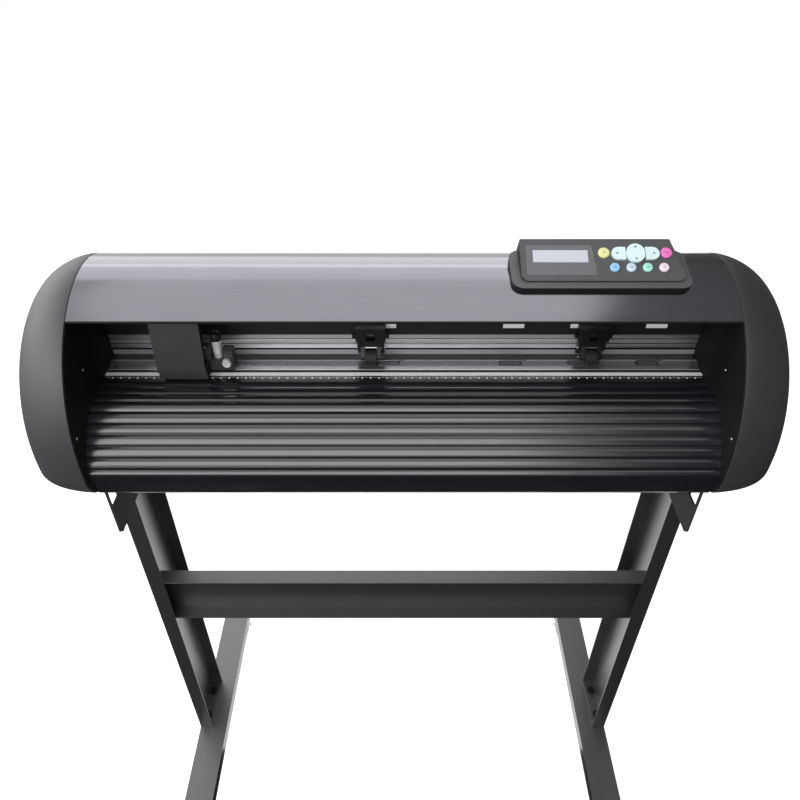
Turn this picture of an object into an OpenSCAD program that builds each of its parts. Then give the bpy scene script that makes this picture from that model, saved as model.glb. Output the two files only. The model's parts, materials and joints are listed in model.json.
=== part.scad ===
// Vinyl cutter on its stand: a beam-shaped body with a ribbed apron, a cutting
// carriage on a guide rail, two pinch roller units, a keypad and a steel stand.
// Millimetres, +Z up, the front faces -Y, the origin is on the floor under the posts.

/* [Machine body] */
// Width between the seams of the two end caps
bay_w = 768; // [740:4:1400]
// Height of the body from its underside to its crown
body_h = 251; // [250:1:262]
// Reach of the crown curve forward of its highest line
crown_reach = 162; // [158:1:168]
// Rise of the crown curve above its centre
crown_rise = 191; // [186:1:196]
// Radius of the rounded upper back
back_r = 103; // [101:1:110]
// Radius of the lower front corner
nose_r = 44; // [36:1:50]
// Radius of the lower back corner
heel_r = 40; // [30:1:46]
// Wall of the top cover
cover_t = 2.5; // [2:0.1:3]
// How far the top cover reaches forward of its highest line
cover_reach = 85; // [80:1:95]
// Height of the slot that the media enters by at the back
back_slot = 30; // [22:1:34]
// Thickness of each steel end plate
plate_t = 3; // [2:0.5:4]
// How far each end plate stays inside the outline of the caps
plate_inset = 1.5; // [0.5:0.5:2.5]

/* [End caps] */
// Depth of each end cap beyond its seam
cap_w = 76; // [72:1:100]
// Wall of the end caps
cap_t = 3; // [2:0.5:3.5]

/* [Bed] */
// Height of the platen above the underside of the body
platen_h = 110; // [108:1:112]
// Thickness of the platen
platen_t = 2; // [1.6:0.1:2.4]
// Width of the white cutting strip
strip_w = 10; // [8:1:11]
// Distance of the front edge of the cutting strip from the rail's face
strip_reach = 39; // [38:1:41]
// Wall of the bed beam
beam_t = 4; // [3:0.5:5]
// Height of the bed beam's box, without its feet
beam_h = 72; // [66:1:80]

/* [Apron] */
// Wall of the front apron
apron_t = 4; // [3.6:0.1:5]
// Distance between two grooves of the apron
rib_pitch = 14.8; // [13.6:0.2:15.2]
// Depth of a groove in the apron
groove_d = 2.2; // [1:0.1:2.6]
// Number of grooves in the apron
groove_n = 9; // [5:1:9]

/* [Guide rail] */
// Gap for the media between platen and rail
media_gap = 5; // [5:0.5:6]
// Height of the guide rail
rail_h = 80; // [78:1:82]
// Depth of the guide rail
rail_d = 40; // [38:1:44]
// Running clearance of pieces that slide on the rail
slide_gap = 0.3; // [0.2:0.05:0.4]

/* [Feed] */
// Diameter of the grit rollers on the feed shaft
roller_d = 16; // [15:0.5:17]
// Diameter of the grit shaft's turned ends
journal_d = 8; // [7:0.5:9]
// How far the grit rollers stand above the platen
grit_proud = 0.3; // [0.1:0.1:0.5]
// Width of each window over a grit roller
window_w = 30; // [24:1:34]
// Radial running clearance of shafts and pins
run_gap = 0.05; // [0.03:0.01:0.08]
// Teeth of the gear on the grit shaft
gear_teeth = 40; // [38:2:42]
// Teeth of the motor's pinion
pinion_teeth = 15; // [14:1:16]
// Module of the gear teeth
gear_module = 1.25; // [1.2:0.05:1.3]

/* [Carriage] */
// Width of the carriage cover
carriage_w = 60; // [56:1:70]
// Place of the carriage, from the left seam to its centre
carriage_from_left = 109; // [106:1:140]
// Diameter of the carriage's upright guide rods
guide_d = 6; // [5:0.5:7]
// Diameter of the blade holder's collar
holder_d = 12; // [11:0.5:12.5]
// Diameter of the blade holder's clamped barrel
barrel_d = 7; // [6:0.5:7]
// Diameter of the clamp knob
knob_d = 11; // [9:0.5:12]

/* [Pinch rollers] */
// Diameter of a pinch wheel
pinch_d = 18; // [16:0.5:18]
// Width of a pinch wheel
pinch_w = 14; // [12:0.5:16]
// Diameter of the pins of a pinch unit
pin_d = 4; // [3:0.5:4.5]

/* [Keypad] */
// Tilt of the keypad's face
face_tilt = 32; // [30:1:34]
// Length of the keypad's face along its slope
face_len = 55; // [54:1:60]
// Width of the keypad's base
base_w = 207; // [204:1:220]
// Place of the keypad, from the right seam to its middle
keypad_from_right = 157.5; // [150:0.5:200]
// Diameter of the six round keys
key_d = 12; // [10:0.5:13]
// How far the keys stand above the face
key_h = 2.5; // [2:0.1:4]

/* [Stand] */
// Depth of the posts and height of the crossbar
post_w = 98; // [90:1:104]
// Depth of the channel of posts and crossbar
channel_d = 24; // [22:1:28]
// Sheet thickness of the channels
channel_t = 2; // [1.5:0.5:3]
// Height of the posts between feet and brackets
post_h = 748; // [600:1:900]
// Height of the crossbar's centre above the feet
crossbar_up = 419; // [250:1:480]
// Length of the feet
foot_len = 540; // [520:10:700]
// Width of the feet
foot_w = 52; // [46:1:60]
// Height of the feet's tube
foot_h = 25; // [24:1:40]
// Sheet thickness of the brackets under the body
bracket_t = 3; // [2:0.5:4]
// Diameter of the two rods that carry the media roll
rod_d = 18; // [16:1:24]
// Distance between the two rods
rod_pitch = 55; // [45:1:65]

/* [Casters] */
// Diameter of the caster wheels
wheel_d = 50; // [45:1:54]
// Width of the caster wheels
wheel_w = 20; // [16:1:22]
// Distance of a caster's axle behind its swivel
trail = 15; // [12:1:18]
// Height of the casters below the feet
caster_h = 69; // [68:1:80]

/* [Hidden] */
$fn = 48;

// ---- places worked out from the sizes above ----
seam_x = bay_w / 2;
wall_x = seam_x - plate_t;
foot_z = caster_h + foot_h;
body_z = foot_z + post_h + bracket_t;
platen_z = body_z + platen_h;
top_z = body_z + body_h;
crown_y = 18;
crown_z = top_z - crown_rise;
back_z = top_z - back_r;
back_y = crown_y + back_r;
rail_y = 21;
rail_z = platen_z + media_gap;
rail_top = rail_z + rail_h;
strip_y = rail_y - strip_reach;
groove_gap = 1;

// ---- general helpers ----
function arc(cy, cz, ry, rz, a0, a1, n) =
  [for (i = [0:n]) let (a = a0 + (a1 - a0) * i / n) [cy + ry * cos(a), cz + rz * sin(a)]];
function unit(v) = v / norm(v);
function swept(a0, a1) = (a1 - a0 + 540) % 360 - 180;
function corner(a, b, c, r) = let (
    u = unit(a - b), w = unit(c - b), h = acos(u * w) / 2,
    m = b + unit(u + w) * r / sin(h),
    p = b + u * r / tan(h) - m, q = b + w * r / tan(h) - m,
    a0 = atan2(p[1], p[0]), da = swept(a0, atan2(q[1], q[0])))
  [for (i = [0:6]) m + r * [cos(a0 + da * i / 6), sin(a0 + da * i / 6)]];
function rounded(p, r) = let (n = len(p))
  [for (i = [0:n - 1]) each corner(p[(i + n - 1) % n], p[i], p[(i + 1) % n], r)];
function box_pts(x0, x1, y0, y1) = [[x0, y0], [x1, y0], [x1, y1], [x0, y1]];

module block(x, y, z) {
  translate([x[0], y[0], z[0]]) cube([x[1] - x[0], y[1] - y[0], z[1] - z[0]]);
}
module area(y, z) {
  translate([y[0], z[0]]) square([y[1] - y[0], z[1] - z[0]]);
}
module along_x(x) {
  translate([x[0], 0, 0]) rotate([90, 0, 90]) linear_extrude(x[1] - x[0]) children();
}
module rod_x(x, y, z, d) {
  translate([x[0], y, z]) rotate([0, 90, 0]) cylinder(h = x[1] - x[0], d = d);
}
module rod_y(x, y, z, d) {
  translate([x, y[0], z]) rotate([-90, 0, 0]) cylinder(h = y[1] - y[0], d = d);
}
module rod_z(x, y, z, d) {
  translate([x, y, z[0]]) cylinder(h = z[1] - z[0], d = d);
}
module both_sides() {
  children();
  mirror([1, 0, 0]) children();
}
// A flat link between two round ends
module link(p, q, r) {
  side = unit([q[1] - p[1], p[0] - q[0]]) * r;
  translate(p) circle(r = r);
  translate(q) circle(r = r);
  polygon([p + side, q + side, q - side, p - side]);
}

// ---- the body's outline, seen from its end, kept i inside the real one ----
function crown(i, a0, a1, n) =
  arc(crown_y, crown_z, crown_reach - i, crown_rise - i, a0, a1, n);
function upper_back(i, a0, a1, n) = arc(crown_y, back_z, back_r - i, back_r - i, a0, a1, n);
function heel(i) = arc(back_y - heel_r, body_z + heel_r, heel_r - i, heel_r - i, 0, -90, 6);
function nose(i) =
  arc(crown_y - crown_reach + nose_r, body_z + nose_r, nose_r - i, nose_r - i, 270, 180, 6);
function section(i = 0) =
  concat(crown(i, 180, 90, 16), upper_back(i, 81, 0, 9), heel(i), nose(i));

// ---- bed: a chambered extrusion on two feet, with a trough for the grit shaft ----
shaft_y = rail_y - 12.85;
shaft_z = platen_z + grit_proud - roller_d / 2;
shaft_d = roller_d - 2 * (grit_proud + platen_t + 0.3);
trough_r = roller_d / 2 + 1;
bed_y = [-60, 66];
bed_top = platen_z - platen_t;
bed_low = bed_top - beam_h;
pan_t = 3;
foot_lip = 20;
module bed_profile() {
  difference() {
    union() {
      area(bed_y, [bed_low, bed_top]);
      for (y = [[bed_y[0], bed_y[0] + beam_t], [bed_y[1] - beam_t, bed_y[1]]])
        area(y, [body_z + pan_t, bed_low]);
      for (y = [[bed_y[0], bed_y[0] + foot_lip], [bed_y[1] - foot_lip, bed_y[1]]])
        area(y, [body_z + pan_t, body_z + pan_t + beam_t]);
    }
    area([shaft_y - trough_r, shaft_y + trough_r], [shaft_z - trough_r, bed_top + 1]);
    // step that the apron's top lies in
    area([bed_y[0] - 1, strip_y - groove_gap], [platen_z - apron_t, bed_top + 1]);
    area([bed_y[0] + beam_t, shaft_y - trough_r - beam_t],
         [bed_low + beam_t, platen_z - apron_t - beam_t]);
    area([shaft_y - trough_r, shaft_y + trough_r],
         [bed_low + beam_t, shaft_z - trough_r - beam_t]);
    area([shaft_y + trough_r + beam_t, bed_y[1] - beam_t],
         [bed_low + beam_t, bed_top - beam_t]);
  }
}
// Where the bolts of the stand come up through the underside
stud_x = wall_x - 17;
stud_y = [-54, 60];
stud_d = 6;
module stud_holes() {
  for (x = [-1, 1], y = stud_y)
    rod_z(x * stud_x, y, [body_z - 1, body_z + pan_t + beam_t + 1], stud_d + 0.6);
}
module bed_beam() {
  color("silver") difference() {
    along_x([-wall_x, wall_x]) bed_profile();
    stud_holes();
  }
}

// ---- rear cover: one bent sheet from the platen, round the back, to the apron ----
sheet_t = 2.5;
turn_r = 50;
seam_y = -100;
function rear_line(i) = concat(
  arc(back_y - turn_r, platen_z - turn_r, turn_r - i, turn_r - i, 90, 0, 8), heel(i),
  [[seam_y, body_z + i]]);
module rear_cover() {
  color([0.16, 0.16, 0.17]) difference() {
    along_x([-wall_x, wall_x]) polygon(concat([[bed_y[1], platen_z]], rear_line(0),
      [for (i = [len(rear_line(0)) - 1:-1:0]) rear_line(sheet_t)[i]],
      [[bed_y[1], platen_z - sheet_t]]));
    stud_holes();
  }
}

// ---- front apron: an extrusion whose face follows a soft curve, cut by grooves ----
apron_r = 70;
apron_flat = 47;
soft = 1.5;
apron_y = strip_y - groove_gap - apron_flat;
lip_r = 16;
groove_first = 20;
steps = 8;
function bow(r, a) = [apron_y - r * pow(sin(a), 2 / soft),
                      platen_z - apron_r + r * pow(cos(a), 2 / soft)];
bow_line = concat([[strip_y - groove_gap, platen_z]], [for (a = [0:3:90]) bow(apron_r, a)]);
bow_len = [for (i = 0, s = 0; i < len(bow_line);
    s = s + (i < len(bow_line) - 1 ? norm(bow_line[i + 1] - bow_line[i]) : 0), i = i + 1) s];
function on_bow(s) = [for (k = [0, 1])
  lookup(s, [for (i = [0:len(bow_line) - 1]) [bow_len[i], bow_line[i][k]]])];
function inward(s) = let (d = unit(on_bow(s + 0.5) - on_bow(s - 0.5))) [-d[1], d[0]];
function groove(s) = let (m = (s - groove_first) / rib_pitch, t = abs(m - round(m)))
  m < -0.5 || m > groove_n - 0.5 ? 0 : groove_d * pow(1 - 2 * t, 3);
ribbed_end = groove_first + (groove_n - 0.5) * rib_pitch;
ribbed = [for (k = [0:ceil((ribbed_end - groove_first + rib_pitch / 2) * steps / rib_pitch)])
  let (s = groove_first - rib_pitch / 2 + k * rib_pitch / steps)
  if (s < min(ribbed_end, bow_len[len(bow_len) - 1] - 1)) on_bow(s) + groove(s) * inward(s)];
chin = [apron_y - apron_r, platen_z - apron_r];
chin_in = 8;
chin_foot = [chin[0] + chin_in, body_z + lip_r];
module front_apron() {
  color([0.1, 0.1, 0.11]) along_x([-wall_x, wall_x]) polygon(concat(
    [[strip_y - groove_gap, platen_z]], ribbed, [chin],
    arc(chin_foot[0] + lip_r, chin_foot[1], lip_r, lip_r, 180, 270, 6),
    [[seam_y, body_z], [seam_y, body_z + apron_t]],
    arc(chin_foot[0] + lip_r, chin_foot[1], lip_r - apron_t, lip_r - apron_t, 270, 180, 6),
    [chin + [apron_t, 0]], [for (a = [81:-9:0]) bow(apron_r - apron_t, a)],
    [[strip_y - groove_gap, platen_z - apron_t]]));
}

// ---- platen with its windows, and the cutting strip in front of it ----
grit_edge = 67;
grit_left = 84;
grit_pitch = 89;
grit_step = 159;
grit_x = [seam_x - grit_edge, seam_x - grit_edge - grit_pitch,
          seam_x - grit_edge - 2 * grit_pitch, seam_x - grit_edge - 2 * grit_pitch - grit_step,
          -seam_x + grit_left];
// A roller's half width where it passes the underside of the platen
roller_half = sqrt(pow(roller_d / 2, 2) - pow(roller_d / 2 - grit_proud - platen_t, 2));
window_d = 2 * roller_half + 0.6;
module platen() {
  color([0.45, 0.45, 0.47]) difference() {
    block([-wall_x, wall_x], [strip_y + strip_w + groove_gap, bed_y[1]], [bed_top, platen_z]);
    for (x = grit_x)
      block([x - window_w / 2, x + window_w / 2],
            [shaft_y - window_d / 2, shaft_y + window_d / 2], [bed_top - 1, platen_z + 1]);
  }
}
module cutting_strip() {
  color([0.93, 0.93, 0.92]) block([-wall_x, wall_x], [strip_y, strip_y + strip_w],
                                  [bed_top, platen_z + 0.2]);
}

// ---- top cover: an extrusion with a rolled front edge and screw channels inside ----
front_a = 180 - acos(cover_reach / crown_reach);
bead_r = 2;
channel_r = 4.5;
channel_in = cover_t + 3;
cover_low = platen_z + back_slot;
cover_outline = concat(crown(0, front_a, 90, 12), upper_back(0, 81, 0, 9));
channels = [crown(channel_in, 108, 108, 1)[0], upper_back(channel_in, 50, 50, 1)[0],
            upper_back(channel_in, 8, 8, 1)[0]];
module top_cover() {
  color([0.14, 0.14, 0.15]) difference() {
    union() {
      along_x([-wall_x, wall_x]) polygon(concat(
        cover_outline, [[back_y, cover_low], [back_y - cover_t, cover_low]],
        upper_back(cover_t, 0, 81, 9), crown(cover_t, 90, front_a, 12)));
      cover_rod(crown(bead_r, front_a, front_a, 1)[0], 2 * bead_r, 0);
      for (c = channels) cover_rod(c, 2 * channel_r, 0);
    }
    for (c = channels) cover_rod(c, 2 * channel_r - 4, 1);
  }
}
module cover_rod(c, d, past) {
  rod_x([-wall_x - past, wall_x + past], c[0], c[1], d);
}

// ---- guide rail: chambered extrusion with T-slot, decorative grooves and tracks ----
slot_z = rail_z + 7.5;
slot_h = 2.5;
head_z = [slot_z - 3.5, slot_z + slot_h + 4];
head_y = [rail_y + 2, rail_y + 6];
track_z = rail_z + 54;
track_h = 4;
lip_y = [rail_y + 4, rail_y + 10];
lip_h = 6;
module guide_rail() {
  wall = 4;
  color([0.78, 0.78, 0.8]) along_x([-wall_x, wall_x]) difference() {
    union() {
      area([rail_y, rail_y + rail_d], [rail_z, rail_top]);
      area(lip_y, [rail_top, rail_top + lip_h]);
    }
    area([rail_y - 1, head_y[0] + 1], [slot_z, slot_z + slot_h]);
    area(head_y, head_z);
    area([rail_y - 1, rail_y + 4], [track_z, track_z + track_h]);
    for (z = [16.5, 23.5, 32]) area([rail_y - 1, rail_y + 1.2], [rail_z + z, rail_z + z + 1.2]);
    area([rail_y + 2 * wall, rail_y + rail_d - wall], [rail_z + wall, rail_z + 21]);
    area([rail_y + wall, rail_y + rail_d - wall], [rail_z + 25, track_z - wall]);
    area([rail_y + wall, rail_y + rail_d - wall], [track_z + track_h + wall, rail_top - wall]);
  }
}

// ---- end plates: close the bay and carry rail, bed, shaft bearings and belt ----
bearing_d = 22;
belt_y = rail_y + 25;
belt_z = [rail_top + 8, rail_top + 16];
motor_w = 42;
motor_boss = 11;
rotor_d = 5;
pulley_x = seam_x + 24;
shelf_t = 3;
module end_plate(hole) {
  difference() {
    along_x([wall_x, seam_x]) polygon(section(plate_inset));
    rod_x([wall_x - 1, seam_x + 1], shaft_y, shaft_z, bearing_d + 2 * run_gap);
    block([wall_x - 1, seam_x + 1], [belt_y - 16, belt_y + 16],
          [belt_z[0] - 2, belt_z[1] + 2]);
  }
  // shelf for the belt's motor or idler
  difference() {
    block([seam_x, pulley_x + motor_w / 2], [belt_y - motor_w / 2, belt_y + motor_w / 2],
          [rail_top, rail_top + shelf_t]);
    rod_z(pulley_x, belt_y, [rail_top - 1, rail_top + shelf_t + 1], hole);
  }
}
module end_plates() {
  color([0.12, 0.12, 0.13]) {
    end_plate(motor_boss + 1);
    mirror([1, 0, 0]) end_plate(rotor_d + 2 * run_gap);
  }
}

// ---- end caps: pillow-shaped shells ----
cap_bulge = 1.45;
cap_edge = 7.5;
cap_mid_z = body_z + 16;
cap_slices = 9;
function cap_scale(t) = pow(1 - pow(t, cap_bulge), 1 / cap_edge);
module cap_form(inset, depth) {
  hull() for (k = [0:cap_slices]) let (t = sin(88 * k / cap_slices), s = cap_scale(t)) {
    along_x([seam_x + depth * t, seam_x + depth * t + 0.01])
      translate([0, cap_mid_z]) scale(s) translate([0, -cap_mid_z])
        polygon(section(inset));
  }
}
pocket_x = [seam_x + 12, seam_x + 62];
pocket_z = [body_z + 40, body_z + 104];
pocket_y = back_y - 28;
module pocket(g) {
  block([pocket_x[0] - g, pocket_x[1] + g], [pocket_y - g, back_y + 10],
        [pocket_z[0] - g, pocket_z[1] + g]);
}
inlet_w = 28;
inlet_h = 20;
rocker_w = 13;
rocker_h = 19;
inlet_x = (pocket_x[0] + pocket_x[1]) / 2;
inlet_z = pocket_z[0] + 17;
rocker_z = pocket_z[1] - 17;
module cap_left() {
  color([0.2, 0.2, 0.21]) mirror([1, 0, 0]) difference() {
    cap_form(0, cap_w);
    translate([-0.02, 0, 0]) cap_form(cap_t, cap_w - cap_t);
  }
}
module cap_right() {
  color([0.2, 0.2, 0.21]) difference() {
    cap_form(0, cap_w);
    pocket(0);
    difference() {
      translate([-0.02, 0, 0]) cap_form(cap_t, cap_w - cap_t);
      pocket(cap_t);
    }
    block([inlet_x - inlet_w / 2, inlet_x + inlet_w / 2], [pocket_y - cap_t - 1, pocket_y + 1],
          [inlet_z - inlet_h / 2, inlet_z + inlet_h / 2]);
    block([inlet_x - rocker_w / 2 - 2, inlet_x + rocker_w / 2 + 2],
          [pocket_y - cap_t - 1, pocket_y + 1],
          [rocker_z - rocker_h / 2 - 2, rocker_z + rocker_h / 2 + 2]);
  }
}

// ---- power inlet: a flanged socket with three blades, and the rocker's frame ----
module power_inlet() {
  color([0.1, 0.1, 0.1]) difference() {
    union() {
      block([inlet_x - inlet_w / 2 - 4, inlet_x + inlet_w / 2 + 4], [pocket_y, pocket_y + 2],
            [inlet_z - inlet_h / 2 - 3, rocker_z + rocker_h / 2 + 5]);
      block([inlet_x - inlet_w / 2, inlet_x + inlet_w / 2], [pocket_y - 18, pocket_y],
            [inlet_z - inlet_h / 2, inlet_z + inlet_h / 2]);
      block([inlet_x - rocker_w / 2 - 2, inlet_x + rocker_w / 2 + 2],
            [pocket_y - 14, pocket_y], [rocker_z - rocker_h / 2 - 2, rocker_z + rocker_h / 2 + 2]);
    }
    block([inlet_x - inlet_w / 2 + 2, inlet_x + inlet_w / 2 - 2], [pocket_y - 16, pocket_y + 3],
          [inlet_z - inlet_h / 2 + 2, inlet_z + inlet_h / 2 - 2]);
    block([inlet_x - rocker_w / 2, inlet_x + rocker_w / 2], [pocket_y - 12, pocket_y + 3],
          [rocker_z - rocker_h / 2, rocker_z + rocker_h / 2]);
  }
  color("silver") for (p = [[-7, -2], [0, 2], [7, -2]])
    block([inlet_x + p[0] - 1, inlet_x + p[0] + 1], [pocket_y - 16, pocket_y - 4],
          [inlet_z + p[1] - 2.5, inlet_z + p[1] + 2.5]);
  color("silver") rod_x([inlet_x - rocker_w / 2, inlet_x + rocker_w / 2], pocket_y - 3,
                        rocker_z, 3);
}
rocker_tilt = 8;
module power_switch() {
  gap = 0.4;
  color([0.6, 0.08, 0.08]) translate([0, pocket_y - 3, rocker_z]) rotate([-rocker_tilt, 0, 0])
    difference() {
      along_x([inlet_x - rocker_w / 2 + gap, inlet_x + rocker_w / 2 - gap])
        polygon([[-4, -5], [4.4, -rocker_h / 2 + 1.4], [4.9, 0],
                 [4.4, rocker_h / 2 - 1.4], [-4, 5]]);
      rod_x([inlet_x - rocker_w, inlet_x + rocker_w], 0, 0, 3 + 2 * run_gap);
    }
}

// ---- drive: two like motors, the belt with its two pulleys, and the feed gears ----
gear_dist = gear_module * (gear_teeth + pinion_teeth) / 2;
gear_turn = 215;
pinion_y = shaft_y + gear_dist * cos(gear_turn);
pinion_z = shaft_z + gear_dist * sin(gear_turn);
gear_x = [seam_x + 4, seam_x + 12];
standoff = 16;
motor_len = 40;
pulley_d = 20;
belt_t = 1.5;
motor_corner = 5;
motor_stud = 15.5;
// A motor with its face at z = 0 and its shaft hole up the middle
module motor(stand) {
  difference() {
    union() {
      translate([0, 0, -motor_len]) linear_extrude(motor_len)
        polygon(rounded(box_pts(-motor_w / 2, motor_w / 2, -motor_w / 2, motor_w / 2),
                        motor_corner));
      cylinder(h = 2, d = motor_boss);
      // three standoffs; the fourth corner is where the large gear turns
      if (stand > 0) for (p = [[-1, -1], [-1, 1], [1, -1]])
        translate(p * motor_stud) cylinder(h = stand, d = 6);
    }
    translate([0, 0, -16]) cylinder(h = 20, d = rotor_d + 2 * run_gap);
  }
}
module drive_motors() {
  color([0.25, 0.25, 0.26]) {
    translate([pulley_x, belt_y, rail_top]) motor(0);
    translate([seam_x + standoff, pinion_y, pinion_z]) rotate([0, -90, 0]) motor(standoff);
  }
}
// A pulley with two rims; its own spindle runs down into what carries it
module pulley(x, down) {
  z = belt_z[0];
  h = belt_z[1] - belt_z[0];
  color("silver") {
    rod_z(x, belt_y, [z - 0.5, z + h + 0.5], pulley_d - 0.2);
    rod_z(x, belt_y, [z - 1.7, z - 0.5], pulley_d + 5);
    rod_z(x, belt_y, [z + h + 0.5, z + h + 1.7], pulley_d + 5);
    rod_z(x, belt_y, [rail_top - down, z], rotor_d);
  }
}
module belt_pulley() {
  pulley(pulley_x, 14);
}
module idler_pulley() {
  pulley(-pulley_x, 8);
}
module carriage_belt() {
  r = pulley_d / 2 + 0.2;
  color([0.08, 0.08, 0.08]) translate([0, belt_y, belt_z[0]])
    linear_extrude(belt_z[1] - belt_z[0]) difference() {
      union() {
        for (x = [-pulley_x, pulley_x]) translate([x, 0]) circle(r = r + belt_t);
        translate([-pulley_x, -r - belt_t]) square([2 * pulley_x, 2 * (r + belt_t)]);
      }
      for (x = [-pulley_x, pulley_x]) translate([x, 0]) circle(r = r);
      translate([-pulley_x, -r]) square([2 * pulley_x, 2 * r]);
    }
}
// Straight-sided teeth, thinner than half the pitch so that the pair runs free
function tooth(m, n, i, turn) = let (r = m * n / 2, a = 360 / n, c = i * a + turn)
  [[r - 1.2 * m, c - 0.34 * a], [r, c - 0.2 * a], [r + 0.75 * m, c - 0.1 * a],
   [r + 0.75 * m, c + 0.1 * a], [r, c + 0.2 * a], [r - 1.2 * m, c + 0.34 * a]];
module spur(n, turn, bore) {
  linear_extrude(gear_x[1] - gear_x[0]) difference() {
    polygon([for (i = [0:n - 1], p = tooth(gear_module, n, i, turn))
      p[0] * [cos(p[1]), sin(p[1])]]);
    circle(d = bore);
  }
}
// Looking along the shaft, +X up: angles run from +Y towards +Z
module feed_gear() {
  color([0.85, 0.83, 0.75]) translate([gear_x[0], shaft_y, shaft_z]) rotate([90, 0, 90])
    spur(gear_teeth, gear_turn, journal_d + 2 * run_gap);
}
module motor_pinion() {
  color("goldenrod") translate([gear_x[0], pinion_y, pinion_z]) {
    rotate([90, 0, 90]) spur(pinion_teeth, gear_turn + 180 + 180 / pinion_teeth, rotor_d - 1);
    rotate([0, 90, 0]) cylinder(h = standoff - 4 + 14, d = rotor_d);
  }
}
module grit_shaft() {
  color([0.6, 0.6, 0.62]) {
    rod_x([-wall_x + 1, wall_x - 1], shaft_y, shaft_z, shaft_d);
    for (x = grit_x) rod_x([x - window_w / 2 + 2, x + window_w / 2 - 2], shaft_y, shaft_z,
                           roller_d);
    rod_x([-seam_x - 4, gear_x[1] + 2], shaft_y, shaft_z, journal_d);
  }
}
module shaft_bearings() {
  color("silver") both_sides() difference() {
    rod_x([wall_x, seam_x + 3], shaft_y, shaft_z, bearing_d);
    rod_x([wall_x - 1, seam_x + 4], shaft_y, shaft_z, journal_d + 2 * run_gap);
  }
}

// ---- keypad: a base that follows the cover, a sloped box, its face and keys ----
keypad_x = seam_x - keypad_from_right;
base_tilt = 14.5;
base_front = [-36, -4];
base_len = 64;
base_corner = 14;
face_front = [-26.5, 0];
face_t = 3;
face_left = keypad_x - 92.5;
face_right_low = keypad_x + 99;
face_right_top = keypad_x + 82.5;
face_corner = 9;
face_top_corner = 1.5;
box_wall = 2.5;
key_gap = 0.3;
// Puts its children on the sloped face: x as it is, y up the slope, z out of the face
module on_face() {
  translate([0, face_front[0], top_z + face_front[1]]) rotate([face_tilt, 0, 0]) children();
}
side_slope = (face_right_low - face_right_top) / face_len;
side_run = norm([1, side_slope]);
function face_pts(i) = [[face_left + i, i],
  [face_right_low - i * (side_run + side_slope), i],
  [face_right_top - i * (side_run - side_slope), face_len - i], [face_left + i, face_len - i]];
module face_area(i) {
  r = [face_corner - i, face_corner - i, face_top_corner, face_top_corner];
  p = face_pts(i);
  polygon([for (k = [0:3]) each corner(p[(k + 3) % 4], p[k], p[(k + 1) % 4], r[k])]);
}
module panel_housing() {
  color([0.17, 0.17, 0.18]) difference() {
    union() {
      translate([0, base_front[0], top_z + base_front[1]]) rotate([base_tilt, 0, 0])
        translate([0, 0, -24]) linear_extrude(24)
          polygon(rounded(box_pts(keypad_x - base_w / 2, keypad_x + base_w / 2, 0, base_len),
                          base_corner));
      on_face() translate([0, 0, -36]) linear_extrude(36) face_area(0);
    }
    on_face() {
      translate([0, 0, -face_t]) linear_extrude(face_t + 1) face_area(box_wall / 2);
      translate([0, 0, -60]) linear_extrude(60) face_area(box_wall + 1);
    }
    along_x([keypad_x - base_w, keypad_x + base_w]) polygon(cover_outline);
  }
}
key_top_s = 36;
key_row_s = 17;
nav_s = 35;
nav_w = 21;
nav_h = 18;
lobe_w = 17.2;
nav_gap = 0.9;
nav_straight = 1.3;
row_pitch = 18.9;
row_key_d = key_d - 1;
window_left = face_left + 7;
window_len = 80.4;
window_slant = 4.5;
window_s = [8, 46];
screen_in = 7;
screen_len = 64.3;
screen_s = [window_s[0] + 15.6, window_s[0] + 32];
// The window's right side leans the same way as the side of the face
module window_area(i) {
  polygon([[window_left + i, window_s[0] + i], [window_left + window_len - i, window_s[0] + i],
    [window_left + window_len - window_slant - i, window_s[1] - i],
    [window_left + i, window_s[1] - i]]);
}
module screen_area(i) {
  translate([window_left + screen_in + i, screen_s[0] + i])
    square([screen_len - 2 * i, screen_s[1] - screen_s[0] - 2 * i]);
}
yellow_x = keypad_x + 4.3;
pink_x = keypad_x + 76.5;
nav_x = keypad_x + 40.5;
row_x = keypad_x + 15.3;
// The centre key is a tall pill, the two side keys are pills cut off beside it
module centre_key_area(g) {
  r = nav_w / 2 + g;
  for (y = [-1, 1]) translate([0, y * nav_straight]) circle(r = r);
  translate([-r, -nav_straight]) square([2 * r, 2 * nav_straight]);
}
module side_key_area(g) {
  r = nav_h / 2 - 1 + g;
  end = nav_w / 2 + lobe_w + g;
  translate([end - r, 0]) circle(r = r);
  translate([nav_w / 2 + nav_gap - g, -r]) square([end - r - nav_w / 2 - nav_gap + g, 2 * r]);
}
module key_solid(h) {
  translate([0, 0, -face_t - 1]) linear_extrude(face_t + 1 + h) children();
}
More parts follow.
